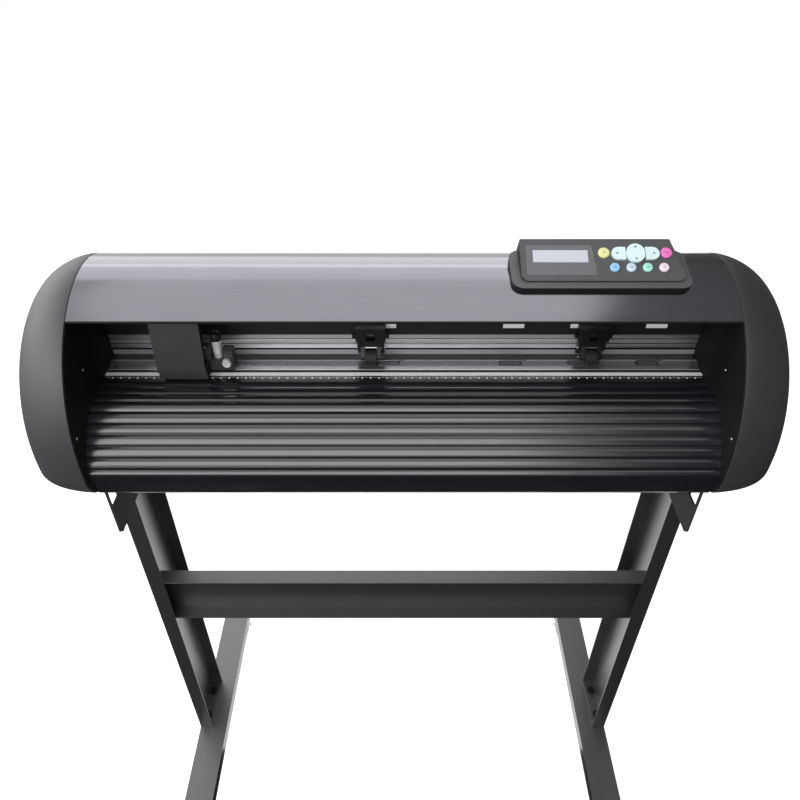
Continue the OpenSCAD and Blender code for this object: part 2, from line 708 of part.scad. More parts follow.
// A rim under the face, so that a key can't come out through its hole
rim_t = 1.6;
module rim() {
  translate([0, 0, -face_t - key_gap - rim_t]) linear_extrude(rim_t) children();
}
module round_key(x, s, d, shade) {
  color(shade) on_face() translate([x, s, 0]) {
    key_solid(key_h - 0.7) circle(d = d);
    translate([0, 0, key_h - 0.7]) cylinder(h = 0.7, d1 = d, d2 = d - 2);
    rim() circle(d = d + 1.4);
  }
}
module panel_face() {
  color([0.27, 0.27, 0.29]) on_face() difference() {
    translate([0, 0, -face_t]) linear_extrude(face_t) face_area(box_wall / 2 + 0.1);
    translate([0, 0, -face_t - 1]) linear_extrude(face_t + 2) {
      translate([yellow_x, key_top_s]) circle(d = key_d + 1 + 2 * key_gap);
      translate([pink_x, key_top_s]) circle(d = key_d + 1 + 2 * key_gap);
      for (i = [0:3]) translate([row_x + i * row_pitch, key_row_s])
        circle(d = row_key_d + 2 * key_gap);
      translate([nav_x, nav_s]) centre_key_area(key_gap);
      translate([nav_x, nav_s]) side_key_area(key_gap);
      translate([nav_x, nav_s]) mirror([1, 0]) side_key_area(key_gap);
    }
    translate([0, 0, -1]) linear_extrude(2) window_area(0);
    translate([0, 0, -face_t - 1]) linear_extrude(face_t + 2) screen_area(0);
  }
}
module display_window() {
  color([0.75, 0.77, 0.82]) on_face() {
    translate([0, 0, -1]) linear_extrude(1.2) window_area(0.2);
    translate([0, 0, -face_t - 4]) linear_extrude(face_t + 3) screen_area(0.3);
  }
}
module key_yellow() {
  round_key(yellow_x, key_top_s, key_d + 1, [0.86, 0.9, 0.55]);
}
module key_pink() {
  round_key(pink_x, key_top_s, key_d + 1, [0.93, 0.4, 0.7]);
}
module side_key() {
  key_solid(key_h) side_key_area(0);
  rim() translate([nav_w / 2 + 2, -nav_h / 2 - 0.4]) square([lobe_w - 8, nav_h + 0.8]);
}
module key_right() {
  color([0.85, 0.96, 0.97]) on_face() translate([nav_x, nav_s, 0]) side_key();
}
module key_left() {
  color([0.85, 0.96, 0.97]) on_face() translate([nav_x, nav_s, 0]) mirror([1, 0, 0]) side_key();
}
module key_up_down() {
  color([0.85, 0.96, 0.97]) on_face() translate([nav_x, nav_s, 0]) {
    key_solid(key_h + 1) centre_key_area(0);
    rim() square([4, 2 * (nav_straight + nav_w / 2 + 1.1)], center = true);
  }
}
row_shade = [[0.5, 0.75, 0.92], [0.8, 0.88, 0.95], [0.6, 0.9, 0.85], [0.95, 0.9, 0.95]];
module row_key(i) {
  round_key(row_x + i * row_pitch, key_row_s, row_key_d, row_shade[i]);
}

// ---- carriage: a plate that hooks on the rail, a folded frame and two guide rods ----
cx = -seam_x + carriage_from_left;
frame_x = [cx - carriage_w / 2 + 2, cx + carriage_w / 2 - 5];
plate_z = [rail_z + 51.5, rail_top + lip_h + slide_gap + 3];
plate_y = [rail_y - 9, rail_y - slide_gap];
clear_y = -8;
guide_in = 8;
guide_pitch = 32;
rod_x_places = [frame_x[1] - guide_in, frame_x[1] - guide_in - guide_pitch];
rod_y_place = clear_y - 11;
frame_t = 3;
frame_z = [platen_z + 11, plate_z[1]];
belt_front = belt_y - pulley_d / 2 - 0.2 - belt_t;
clamp_half = 10;
module carriage_plate() {
  hook_z = rail_top + 0.4;
  color([0.3, 0.3, 0.31]) {
    // slide plate with its lower tongue and upper hook
    block(frame_x, plate_y, plate_z);
    block(frame_x, [plate_y[1], rail_y + 3.7],
          [track_z + slide_gap, track_z + track_h - slide_gap]);
    block(frame_x, [plate_y[1], lip_y[0] - slide_gap], [hook_z, plate_z[1]]);
    block(frame_x, [plate_y[0], lip_y[1] + slide_gap + 2.7], [plate_z[1] - 3, plate_z[1]]);
    block(frame_x, [lip_y[1] + slide_gap, lip_y[1] + slide_gap + 2.7], [hook_z, plate_z[1]]);
    // belt clamp
    block([cx - clamp_half, cx + clamp_half], [belt_front - 3, belt_front - slide_gap],
          [plate_z[1] - 3, belt_z[1] + 3]);
    block([cx - clamp_half, cx + clamp_half], [belt_front - 3, belt_front + belt_t + 3],
          [belt_z[1] + slide_gap, belt_z[1] + 3]);
    block([cx - clamp_half, cx + clamp_half], [belt_front + belt_t + slide_gap, belt_front + belt_t + 3],
          [belt_z[0], belt_z[1] + 3]);
    // folded frame in front of the pinch rollers
    block(frame_x, [rod_y_place - 6, plate_y[0]], [frame_z[1] - frame_t, frame_z[1]]);
    block(frame_x, [clear_y - frame_t, clear_y], frame_z);
    block(frame_x, [rod_y_place - 6, clear_y], [frame_z[0], frame_z[0] + frame_t]);
  }
  color("silver") for (x = rod_x_places)
    rod_z(x, rod_y_place, [frame_z[0] + 1, frame_z[1] - 1], guide_d);
}
cover_wall = 2;
module carriage_cover() {
  face_y = clear_y - 30;
  low = platen_z + 5;
  high = rail_top + 22;
  back = plate_y[0] - slide_gap;
  function shape(i) = [[face_y + i, low + 21], [face_y + 5 + i, low + i], [clear_y, low + i],
    [clear_y, plate_z[0] - 1 + i], [back, plate_z[0] - 1 + i], [back, high - i],
    [face_y + 19, high - i], [face_y + 12 + i, high - 4 - i], [face_y + 9 + i, high - 10]];
  color([0.2, 0.2, 0.2]) {
    along_x([cx - carriage_w / 2, cx - carriage_w / 2 + cover_wall]) polygon(shape(0));
    difference() {
      along_x([cx - carriage_w / 2, cx + carriage_w / 2]) polygon(shape(0));
      along_x([cx - carriage_w / 2 - 1, cx + carriage_w / 2 + 1])
        polygon(concat([for (k = [0, 1]) shape(cover_wall)[k]],
          [[back + 1, low + cover_wall], [back + 1, high - cover_wall]],
          [for (k = [6:8]) shape(cover_wall)[k]]));
      block([cx - carriage_w, cx + carriage_w], [clear_y - 0.5, back + 1],
            [low - 1, high - cover_wall]);
    }
  }
}

// ---- tool slide: two sleeves on the rods, an arm and the split clamp ----
tool_x = cx + carriage_w / 2 + 12.5;
tool_y = -13;
clamp_x = [cx + carriage_w / 2 + 2, cx + carriage_w / 2 + 32];
clamp_z = [platen_z + 11, platen_z + 27];
knob_x = tool_x + 12;
knob_z = platen_z + 25;
sleeve_z = [frame_z[0] + frame_t + 14, frame_z[1] - frame_t - 10];
slit = 1.5;
module tool_block() {
  rear = clear_y + 0.2;
  front = tool_y - 9;
  color([0.12, 0.12, 0.12]) difference() {
    union() {
      for (x = rod_x_places) rod_z(x, rod_y_place, sleeve_z, guide_d + 6);
      block([rod_x_places[1], rod_x_places[0]], [rod_y_place - 2, rod_y_place + 2], sleeve_z);
      block([rod_x_places[0], clamp_x[0] + 3], [rod_y_place - 4, rod_y_place + 5],
            [sleeve_z[0], sleeve_z[0] + 18]);
      block([clamp_x[0], clamp_x[0] + 3], [front, rear], [clamp_z[0], sleeve_z[0] + 18]);
      block(clamp_x, [front, rear], clamp_z);
      block([tool_x + 7, clamp_x[1]], [front, rear], [clamp_z[0], clamp_z[1] + 13]);
    }
    for (x = rod_x_places)
      rod_z(x, rod_y_place, [sleeve_z[0] - 1, sleeve_z[1] + 1], guide_d + 2 * run_gap);
    rod_z(tool_x, tool_y, [clamp_z[0] - 1, clamp_z[1] + 1], barrel_d + 2 * run_gap);
    block([tool_x + 1, clamp_x[1] + 1], [tool_y - slit / 2, tool_y + slit / 2],
          [clamp_z[0] - 1, clamp_z[1] + 14]);
    rod_y(knob_x, [front - 1, rear - 1.5], knob_z, 4 + 2 * run_gap);
  }
}
module blade_holder() {
  z = platen_z;
  r = holder_d / 2;
  b = barrel_d / 2;
  color("silver") translate([tool_x, tool_y, 0]) rotate_extrude() polygon([
    [0, z + 4], [0.5, z + 4.6], [b - 0.8, z + 8], [b, z + 10], [b, z + 28], [r, z + 38],
    [r, z + 51], [r + 0.8, z + 52], [r + 0.8, z + 61], [r, z + 62], [2.5, z + 62],
    [2.5, z + 66], [0, z + 66]]);
}
module clamp_knob() {
  front = tool_y - 9;
  color("silver") {
    rod_y(knob_x, [front - 7, front - 0.4], knob_z, knob_d);
    rod_y(knob_x, [front - 1, clear_y - 2.5], knob_z, 4);
  }
}

// ---- pinch rollers: a bracket in the T-slot, a lifting arm, its cam and its wheel ----
pinch_from_mid = [-42.5, 241.5];
pivot_y = rail_y - 7.5;
pivot_z = platen_z + 21;
axle_z = platen_z + grit_proud + pinch_d / 2 + 0.3;
cam_y = rail_y - 8;
cam_z = platen_z + 40;
ear_x = [pinch_w / 2 + 6.3, pinch_w / 2 + 10.3];
fork_x = [pinch_w / 2 + 0.6, pinch_w / 2 + 6];
pinch_top = platen_z + 53;
module pinch_bracket(x) {
  back = [rail_y - 2.3, rail_y - slide_gap];
  color([0.08, 0.08, 0.08]) translate([x, 0, 0]) {
    difference() {
      block([-ear_x[1] - 2, ear_x[1] + 2], [rail_y - 14.5, back[1]],
            [cam_z - 6, pinch_top]);
      rod_x([-ear_x[1] - 3, ear_x[1] + 3], cam_y, cam_z, 5 + 2 * run_gap);
      block([-6, 6], [rail_y - 15, back[0] - 0.1], [cam_z - 7, cam_z + 6]);
    }
    block([-ear_x[1], ear_x[1]], back, [rail_z + 3, cam_z - 6]);
    block([-ear_x[0], ear_x[0]], [back[1], head_y[0] + slide_gap],
          [slot_z + slide_gap, slot_z + slot_h - slide_gap]);
    block([-ear_x[0], ear_x[0]], [head_y[0] + slide_gap, head_y[1] - slide_gap],
          [head_z[0] + slide_gap, head_z[1] - slide_gap]);
    for (s = [-1, 1]) translate([s < 0 ? -ear_x[1] : ear_x[0], 0, 0])
      along_x([0, ear_x[1] - ear_x[0]]) {
        link([pivot_y, pivot_z], [pivot_y, cam_z - 7], 4.5);
        area([pivot_y, back[1]], [pivot_z - 4.5, cam_z - 6]);
      }
  }
  color("silver") rod_x([x - ear_x[1] - 0.8, x + ear_x[1] + 0.8], pivot_y, pivot_z, pin_d);
}
module pinch_arm(x) {
  color([0.13, 0.13, 0.13]) translate([x, 0, 0]) difference() {
    union() {
      for (s = [-1, 1]) translate([s < 0 ? -fork_x[1] : fork_x[0], 0, 0])
        along_x([0, fork_x[1] - fork_x[0]])
          link([pivot_y, pivot_z], [shaft_y, axle_z], 4.4);
      block([-fork_x[1], fork_x[1]], [pivot_y - 3, pivot_y + 0.5],
            [pivot_z + 2.6, pivot_z + 11.5]);
    }
    rod_x([-20, 20], pivot_y, pivot_z, pin_d + 2 * run_gap);
  }
  color("silver") rod_x([x - fork_x[1] - 3, x + fork_x[1] + 3], shaft_y, axle_z, pin_d);
}
module pinch_cam(x) {
  color([0.1, 0.1, 0.1]) translate([x, 0, 0]) {
    rod_x([-ear_x[1] - 6, ear_x[1] + 6], cam_y, cam_z, 5);
    rod_x([-5, 5], cam_y, cam_z + 1, 8.4);
    for (s = [-1, 1]) translate([s * (ear_x[1] + 4.3), cam_y, cam_z]) rotate([0, 90, 0])
      cylinder(h = 4, r = 4, center = true, $fn = 6);
  }
}
module pinch_wheel(x) {
  color([0.2, 0.2, 0.2]) difference() {
    rod_x([x - pinch_w / 2, x + pinch_w / 2], shaft_y, axle_z, pinch_d);
    rod_x([x - pinch_w, x + pinch_w], shaft_y, axle_z, pin_d + 2 * run_gap);
  }
}

// ---- stand: channel posts and crossbar, tube feet, bracket plates and roll rods ----
post_x = [wall_x, wall_x + channel_d];
post_z = [foot_z, foot_z + post_h];
tab_z = [foot_z + post_h - 66, foot_z + post_h - 8];
bolt_y = 25;
bolt_z = tab_z[0] + 29;
bar_y = [-post_w / 2 + channel_t, -post_w / 2 + channel_t + channel_d + 1];
bar_mid = foot_z + crossbar_up;
bar_h = post_w - 2;
bolt_d = 8;
bolt_gap = 0.3;
module channel_area(w, d) {
  difference() {
    translate([-w / 2, 0]) square([w, d]);
    translate([-w / 2 + channel_t, channel_t]) square([w - 2 * channel_t, d]);
  }
}
module post_holes() {
  for (y = [-1, 1]) {
    rod_x([post_x[0] - 1, post_x[1] + 1], y * bolt_y, bolt_z, bolt_d + 2 * bolt_gap);
    rod_z((post_x[0] + post_x[1]) / 2, y * bolt_y, [foot_z - 1, foot_z + 6],
          bolt_d + 2 * bolt_gap);
    rod_x([post_x[1] - 5, post_x[1] + 1], bar_y[0] + 13, bar_mid + y * 30,
          bolt_d + 2 * bolt_gap);
  }
}
module post() {
  difference() {
    union() {
      translate([post_x[1], 0, post_z[0]]) rotate([0, 0, 90])
        linear_extrude(post_h) channel_area(post_w, channel_d);
      block([post_x[0], post_x[1] - 1], [-post_w / 2 + 1, post_w / 2 - 1],
            [foot_z, foot_z + 3]);
      block([post_x[0], post_x[0] + 3], [-post_w / 2 + 1, post_w / 2 - 1], tab_z);
    }
    post_holes();
  }
}
module stand_posts() {
  color([0.13, 0.13, 0.14]) both_sides() post();
}
module crossbar() {
  ends = post_x[1] - channel_t;
  color([0.12, 0.12, 0.13]) difference() {
    union() {
      translate([-ends, bar_y[1], bar_mid]) rotate([90, 0, 90])
        linear_extrude(2 * ends) rotate([0, 0, 90]) channel_area(bar_h, channel_d + 1);
      both_sides() block([ends - 3, ends], [bar_y[0] + 1, bar_y[1] - 1],
                         [bar_mid - bar_h / 2 + 1, bar_mid + bar_h / 2 - 1]);
    }
    both_sides() for (y = [-1, 1])
      rod_x([ends - 4, ends + 1], bar_y[0] + 13, bar_mid + y * 30, bolt_d + 2 * bolt_gap);
  }
}
stem_d = 10;
foot_x = post_x[1] - foot_w / 2;
caster_y = foot_len / 2 - 25;
module foot() {
  translate([foot_x, 0, 0]) difference() {
    union() {
      difference() {
        block([-foot_w / 2, foot_w / 2], [-foot_len / 2, foot_len / 2], [caster_h, foot_z]);
        block([-foot_w / 2 + 2, foot_w / 2 - 2], [-foot_len / 2 + 2, foot_len / 2 - 2],
              [caster_h + 2, foot_z - 2]);
      }
      for (y = [-1, 1]) rod_z(0, y * caster_y, [caster_h + 1, foot_z - 1], stem_d + 8);
    }
    for (y = [-1, 1]) {
      rod_z(0, y * caster_y, [caster_h - 1, caster_h + 18], stem_d + 2 * run_gap);
      rod_z(post_x[0] + channel_d / 2 - foot_x, y * bolt_y, [foot_z - 4, foot_z + 1],
            bolt_d + 2 * bolt_gap);
    }
  }
}
module stand_feet() {
  color([0.2, 0.2, 0.21]) both_sides() foot();
}
bracket_x = [post_x[0] - bracket_t, post_x[0]];
bracket_front = -115;
bracket_back = 236;
bracket_top_back = 106;
bracket_slope = 14;
bracket_rim = 10;
tab_drop = 7;
bracket_low = foot_z + post_h - 75.5;
bracket_bar = 51;
rod_y_first = 160;
rod_z_place = bracket_low + bracket_bar / 2;
module bracket() {
  flange_x = [bracket_x[0] - 34, bracket_x[1]];
  difference() {
    union() {
      along_x(bracket_x) difference() {
        polygon([[bracket_front, body_z], [bracket_front, bracket_low - tab_drop + 6],
          [bracket_front + 6, bracket_low - tab_drop], [-post_w / 2, bracket_low - tab_drop],
          [post_w / 2, bracket_low], [bracket_back - 8, bracket_low],
          [bracket_back, bracket_low + 8], [bracket_back, bracket_low + bracket_bar - 8],
          [bracket_back - 8, bracket_low + bracket_bar],
          [bracket_top_back + bracket_slope, bracket_low + bracket_bar],
          [bracket_top_back, body_z]]);
        area([bracket_front + 3.5, -post_w / 2 - 3],
             [bracket_low - tab_drop + bracket_bar, body_z - bracket_t - 1]);
        area([post_w / 2 + 3, bracket_top_back - bracket_rim],
             [bracket_low + bracket_bar, body_z - 5]);
      }
      block(flange_x, [bracket_front, bracket_top_back], [body_z - bracket_t, body_z]);
    }
    for (y = [-1, 1]) rod_x([bracket_x[0] - 1, bracket_x[1] + 1], y * bolt_y, bolt_z,
                            bolt_d + 2 * bolt_gap);
    for (k = [0, 1]) rod_x([bracket_x[0] - 1, bracket_x[1] + 1], rod_y_first + k * rod_pitch,
                           rod_z_place, 10 + 2 * run_gap);
    for (y = stud_y) rod_z(stud_x, y, [body_z - bracket_t - 1, body_z + 1], stud_d + 0.6);
  }
}
module stand_brackets() {
  color([0.15, 0.15, 0.16]) both_sides() bracket();
}
// A bolt with a flat hexagonal head at z = 0 and its shank below
module bolt(d, len) {
  cylinder(h = d * 0.6, r = d * 0.92, $fn = 6);
  translate([0, 0, -len]) cylinder(h = len + 0.1, d = d);
}
module stand_bolts() {
  color([0.35, 0.35, 0.36]) both_sides() for (y = [-1, 1]) {
    translate([bracket_x[0], y * bolt_y, bolt_z]) rotate([0, -90, 0]) bolt(bolt_d, 12);
    translate([post_x[0] + channel_d / 2, y * bolt_y, foot_z + 3]) bolt(bolt_d, 12);
    translate([post_x[1], bar_y[0] + 13, bar_mid + y * 30]) rotate([0, 90, 0])
      bolt(bolt_d, 10);
    translate([stud_x, stud_y[y > 0 ? 1 : 0], body_z - bracket_t])
      rotate([180, 0, 0]) bolt(stud_d, 11);
  }
}
module roll_rod(k) {
  y = rod_y_first + k * rod_pitch;
  color("silver") {
    rod_x([-bracket_x[0] + 0.3, bracket_x[0] - 0.3], y, rod_z_place, rod_d);
    rod_x([-bracket_x[1] - 3, bracket_x[1] + 3], y, rod_z_place, 10);
  }
}

// ---- casters: a swivelling fork on a stem, and its wheel ----
axle_d = 6;
module caster_place(i) {
  translate([(i % 2 == 0 ? -1 : 1) * foot_x, (i < 2 ? -1 : 1) * caster_y, 0])
    mirror([0, i < 2 ? 0 : 1, 0]) children();
}
module caster_fork(i) {
  leg = [wheel_w / 2 + 1, wheel_w / 2 + 3.5];
  color([0.55, 0.55, 0.57]) caster_place(i) {
    rod_z(0, 0, [caster_h - 6, caster_h + 16], stem_d);
    rod_z(0, 0, [caster_h - 4.5, caster_h - 0.3], 36);
    translate([-leg[1], -14, caster_h - 7]) cube([2 * leg[1], 32, 3]);
    for (s = [-1, 1]) translate([s < 0 ? -leg[1] : leg[0], 0, 0])
      along_x([0, leg[1] - leg[0]]) polygon([[-14, caster_h - 4], [18, caster_h - 4],
        [trail + 7, wheel_d / 2 - 2], [trail + 3, wheel_d / 2 - 6],
        [trail - 3, wheel_d / 2 - 6], [trail - 7, wheel_d / 2 - 2]]);
    rod_x([-leg[1] - 1.5, leg[1] + 1.5], trail, wheel_d / 2, axle_d);
  }
}
module caster_wheel(i) {
  color([0.12, 0.12, 0.12]) caster_place(i) difference() {
    rod_x([-wheel_w / 2, wheel_w / 2], trail, wheel_d / 2, wheel_d);
    rod_x([-wheel_w, wheel_w], trail, wheel_d / 2, axle_d + 2 * run_gap);
  }
}

bed_beam();
rear_cover();
front_apron();
platen();
cutting_strip();
top_cover();
guide_rail();
end_plates();
cap_left();
cap_right();
drive_motors();
carriage_belt();
panel_housing();
panel_face();
display_window();
power_inlet();
stand_posts();
crossbar();
stand_feet();
stand_brackets();
stand_bolts();
shaft_bearings();
carriage_plate();
carriage_cover();
tool_block();
blade_holder();
clamp_knob();
grit_shaft();
feed_gear();
motor_pinion();
belt_pulley();
idler_pulley();
pinch_bracket(pinch_from_mid[0]);  // pinch_bracket_1
pinch_arm(pinch_from_mid[0]);  // pinch_arm_1
pinch_cam(pinch_from_mid[0]);  // pinch_cam_1
pinch_wheel(pinch_from_mid[0]);  // pinch_wheel_1
pinch_bracket(pinch_from_mid[1]);  // pinch_bracket_2
pinch_arm(pinch_from_mid[1]);  // pinch_arm_2
pinch_cam(pinch_from_mid[1]);  // pinch_cam_2
pinch_wheel(pinch_from_mid[1]);  // pinch_wheel_2
key_yellow();
key_pink();
key_left();
key_right();
key_up_down();
row_key(0);  // key_row_1
row_key(1);  // key_row_2
row_key(2);  // key_row_3
row_key(3);  // key_row_4
power_switch();
roll_rod(0);  // roll_rod_front
roll_rod(1);  // roll_rod_back
caster_fork(0);  // caster_fork_1
caster_fork(1);  // caster_fork_2
caster_fork(2);  // caster_fork_3
caster_fork(3);  // caster_fork_4
caster_wheel(0);  // caster_wheel_1
caster_wheel(1);  // caster_wheel_2
caster_wheel(2);  // caster_wheel_3
caster_wheel(3);  // caster_wheel_4
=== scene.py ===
import json
import math

import bmesh
import bpy
from mathutils import Matrix, Vector


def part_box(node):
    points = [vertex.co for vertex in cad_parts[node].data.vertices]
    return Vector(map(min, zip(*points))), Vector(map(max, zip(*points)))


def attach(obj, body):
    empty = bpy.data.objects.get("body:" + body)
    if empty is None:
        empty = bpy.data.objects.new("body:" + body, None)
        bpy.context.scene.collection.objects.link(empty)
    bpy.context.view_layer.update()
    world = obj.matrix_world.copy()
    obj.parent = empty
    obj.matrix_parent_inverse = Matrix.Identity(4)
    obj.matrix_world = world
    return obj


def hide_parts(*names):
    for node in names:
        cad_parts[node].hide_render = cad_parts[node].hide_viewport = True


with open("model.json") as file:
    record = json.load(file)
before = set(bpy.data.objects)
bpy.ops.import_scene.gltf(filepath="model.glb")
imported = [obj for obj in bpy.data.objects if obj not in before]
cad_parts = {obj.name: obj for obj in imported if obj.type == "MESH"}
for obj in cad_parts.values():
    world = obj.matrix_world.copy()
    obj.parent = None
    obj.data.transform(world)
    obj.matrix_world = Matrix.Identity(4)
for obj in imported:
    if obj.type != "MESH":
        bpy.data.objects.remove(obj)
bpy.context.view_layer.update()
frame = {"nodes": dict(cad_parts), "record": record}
mm = 0.001


def linear(code):
    # sRGB hex to a linear colour with full alpha
    parts = [int(code[i:i + 2], 16) / 255 for i in (1, 3, 5)]
    return [p / 12.92 if p <= 0.04045 else ((p + 0.055) / 1.055) ** 2.4 for p in parts] + [1.0]


def setCamera():
    cameraPlace = {"x": -5 * mm, "y": -739 * mm, "z": 1500 * mm, "pitch": 39.1, "lens": 31.85}
    data = bpy.data.cameras.new("studioCamera")
    data.lens = cameraPlace["lens"]
    data.clip_end = 60
    camera = bpy.data.objects.new("studioCamera", data)
    camera.location = (cameraPlace["x"], cameraPlace["y"], cameraPlace["z"])
    camera.rotation_euler = (math.radians(90 - cameraPlace["pitch"]), 0, 0)
    bpy.context.scene.collection.objects.link(camera)
    bpy.context.scene.camera = camera


setCamera()
print("camera is set")


def addNode(tree, kind, settings, inputs):
    made = tree.nodes.new(kind)
    for key, value in settings.items():
        setattr(made, key, value)
    for key, value in inputs.items():
        if isinstance(value, bpy.types.NodeSocket):
            tree.links.new(value, made.inputs[key])
        else:
            made.inputs[key].default_value = value
    return made


def startMaterial(name, sockets):
    made = bpy.data.materials.new(name)
    made.use_nodes = True
    tree = made.node_tree
    shader = tree.nodes["Principled BSDF"]
    for key, value in sockets.items():
        shader.inputs[key].default_value = value
    spot = addNode(tree, "ShaderNodeTexCoord", {}, {}).outputs["Object"]
    return made, tree, shader, spot


def speckle(tree, spot, size, detail=2.0):
    # noise whose grains are size millimetres along X, Y and Z
    scaled = addNode(tree, "ShaderNodeMapping", {},
                     {"Vector": spot, "Scale": [1 / (mm * s) for s in size]})
    noise = addNode(tree, "ShaderNodeTexNoise", {},
                    {"Vector": scaled.outputs[0], "Scale": 1.0, "Detail": detail})
    return noise.outputs["Fac"]


def grained(name, colours, size, rough, bump, sockets):
    # colours and rough are what the grain's low and high ends have; bump is its depth in mm
    made, tree, shader, spot = startMaterial(name, sockets)
    grain = speckle(tree, spot, size)
    cloud = speckle(tree, spot, (70, 70, 70))
    share = addNode(tree, "ShaderNodeMath", {"operation": "MULTIPLY"}, {0: cloud, 1: 0.35})
    both = addNode(tree, "ShaderNodeMath", {"operation": "MULTIPLY_ADD"},
                   {0: grain, 1: 0.65, 2: share.outputs[0]})
    shade = addNode(tree, "ShaderNodeMixRGB", {}, {
        "Fac": both.outputs[0], "Color1": linear(colours[0]), "Color2": linear(colours[1])})
    dull = addNode(tree, "ShaderNodeMapRange", {}, {
        "Value": both.outputs[0], "From Min": 0.3, "From Max": 0.7,
        "To Min": rough[0], "To Max": rough[1]})
    relief = addNode(tree, "ShaderNodeBump", {}, {
        "Height": grain, "Distance": bump * mm, "Strength": 1.0})
    tree.links.new(shade.outputs["Color"], shader.inputs["Base Color"])
    tree.links.new(dull.outputs["Result"], shader.inputs["Roughness"])
    tree.links.new(relief.outputs["Normal"], shader.inputs["Normal"])
    return made


def brushedBlack():
    # black anodised sheet over a bright brushed skin: a dark metal whose sheen turns pale
    return grained("brushedBlack", ("#74757a", "#828388"), (160, 1.1, 1.1), (0.13, 0.18), 0.003,
                   {"Metallic": 1.0})


def blackAnodise():
    # black anodised extrusion: nearly black, die lines along its length, narrow highlights
    return grained("blackAnodise", ("#131418", "#1c1d22"), (160, 1.1, 1.1), (0.19, 0.26), 0.004,
                   {"Specular IOR Level": 0.95})


def tapeAndPaintedShade():
    # black cloth tape on the rail: a dull weave about 0.8 mm across; the same black is painted
    # shade in the rail's grooves and in a band along the cutting strip's back edge
    return grained("tapeAndPaintedShade", ("#0f0f10", "#19191a"), (0.8, 0.8, 0.8), (0.5, 0.62), 0.02,
                   {"Specular IOR Level": 0.35})


def endPlateCoatAndShade():
    # inside of the end plates: sprayed matte black that gives back almost no light; the same
    # black is laid as painted shade on the cover's lower bead and on the keypad's sides and steps
    return grained("endPlateCoatAndShade", ("#0a0a0b", "#111113"), (1.8, 1.8, 1.8), (0.55, 0.7), 0.015,
                   {"Specular IOR Level": 0.22})


def railLipShade():
    # lower lip of the rail: painted shade, the same anodise given a flat mid grey because it is
    # turned from the light
    return grained("railLipShade", ("#8b8c8f", "#98999c"), (120, 0.8, 0.8), (0.4, 0.5), 0.005,
                   {"Metallic": 0.35})


def windowRimHighlight():
    # edge of the acrylic window: painted highlight, a thin grey line for the light that its sawn
    # edge catches
    return grained("windowRimHighlight", ("#6d6e74", "#8b8c92"), (1.0, 1.0, 1.0), (0.25, 0.35), 0.004, {})


def paintedEdgeHighlight():
    # painted highlight on the platen: a bright bare-metal colour standing for the light along its
    # front edge and along a line further back, streaked along its length
    return grained("paintedEdgeHighlight", ("#c2c3c6", "#e2e3e5"), (2.5, 0.6, 0.6), (0.25, 0.4), 0.004,
                   {"Metallic": 0.6})


def legendInk():
    # printed signs on the keys: slate ink, a little thinner at its edges
    return grained("legendInk", ("#4d5a6e", "#5f6c80"), (0.6, 0.6, 0.6), (0.4, 0.5), 0.003, {})


def clearAnodise():
    # clear anodised aluminium: drawn along its length, so its sheen spreads up and down
    made = grained("clearAnodise", ("#e3e4e5", "#f2f3f3"), (120, 0.8, 0.8), (0.34, 0.4), 0.004,
                   {"Metallic": 1.0, "Anisotropic": 0.9, "Anisotropic Rotation": 0.25})
    tree = made.node_tree
    tangent = addNode(tree, "ShaderNodeTangent", {"direction_type": "RADIAL", "axis": "X"}, {})
    tree.links.new(tangent.outputs["Tangent"], tree.nodes["Principled BSDF"].inputs["Tangent"])
    return made


def greyAnodise():
    # hard anodised platen: mid grey with a dull sheen, drawn along its length
    return grained("greyAnodise", ("#8a8b8e", "#9c9da0"), (90, 0.9, 0.9), (0.2, 0.3), 0.005,
                   {"Metallic": 0.8})


def millAluminium():
    # bare extrusion inside the bed: brighter and rougher than the anodised ones
    return grained("millAluminium", ("#9b9ca0", "#b3b4b7"), (80, 1.0, 1.0), (0.4, 0.55), 0.008,
                   {"Metallic": 0.9})


def powderCoat():
    # black powder coat on sheet steel: orange peel about 1.5 mm across
    return grained("powderCoat", ("#131315", "#1d1d20"), (1.5, 1.5, 1.5), (0.24, 0.34), 0.02,
                   {"Specular IOR Level": 0.6})


def standPaint():
    # satin black paint of the stand: grey from above, dark from the front, never sharp
    return grained("standPaint", ("#1c1c1e", "#252527"), (1.5, 1.5, 1.5), (0.4, 0.48), 0.006,
                   {"Specular IOR Level": 1.0, "Coat Weight": 0.8, "Coat Roughness": 0.3})


def bracketPaint():
    # matt black paint of the stand's brackets: even and dull from every side
    return grained("bracketPaint", ("#2b2b2d", "#353537"), (1.5, 1.5, 1.5), (0.75, 0.85), 0.02,
                   {"Specular IOR Level": 0.15})


def mouldedCap():
    # moulded ABS with a spark-eroded grain, drawn a little coarse so that it shows
    return grained("mouldedCap", ("#2a2b2d", "#353639"), (1.2, 1.2, 1.2), (0.46, 0.58), 0.035,
                   {"Specular IOR Level": 0.5})


def mouldedPanel():
    # the keypad's ABS: same grain, a finer texture and a lighter grey
    return grained("mouldedPanel", ("#454648", "#545557"), (0.8, 0.8, 0.8), (0.38, 0.5), 0.02,
                   {"Specular IOR Level": 0.5})


def mouldedBlack():
    # glass-filled nylon of the pinch units and tool block: black, slightly streaked
    return grained("mouldedBlack", ("#0a0a0b", "#131315"), (2.5, 0.9, 0.9), (0.4, 0.52), 0.015,
                   {"Specular IOR Level": 0.35})


def carriageShell():
    # the carriage's moulded cover: charcoal with a fine matte grain
    return grained("carriageShell", ("#2b2b2c", "#363637"), (1.0, 1.0, 1.0), (0.42, 0.54), 0.025,
                   {"Specular IOR Level": 0.45})


def groundSteel():
    # ground shaft steel: fine rings round the shaft and a clear, cool shine
    return grained("groundSteel", ("#8e9094", "#b5b7ba"), (0.7, 40, 40), (0.18, 0.3), 0.004,
                   {"Metallic": 1.0})


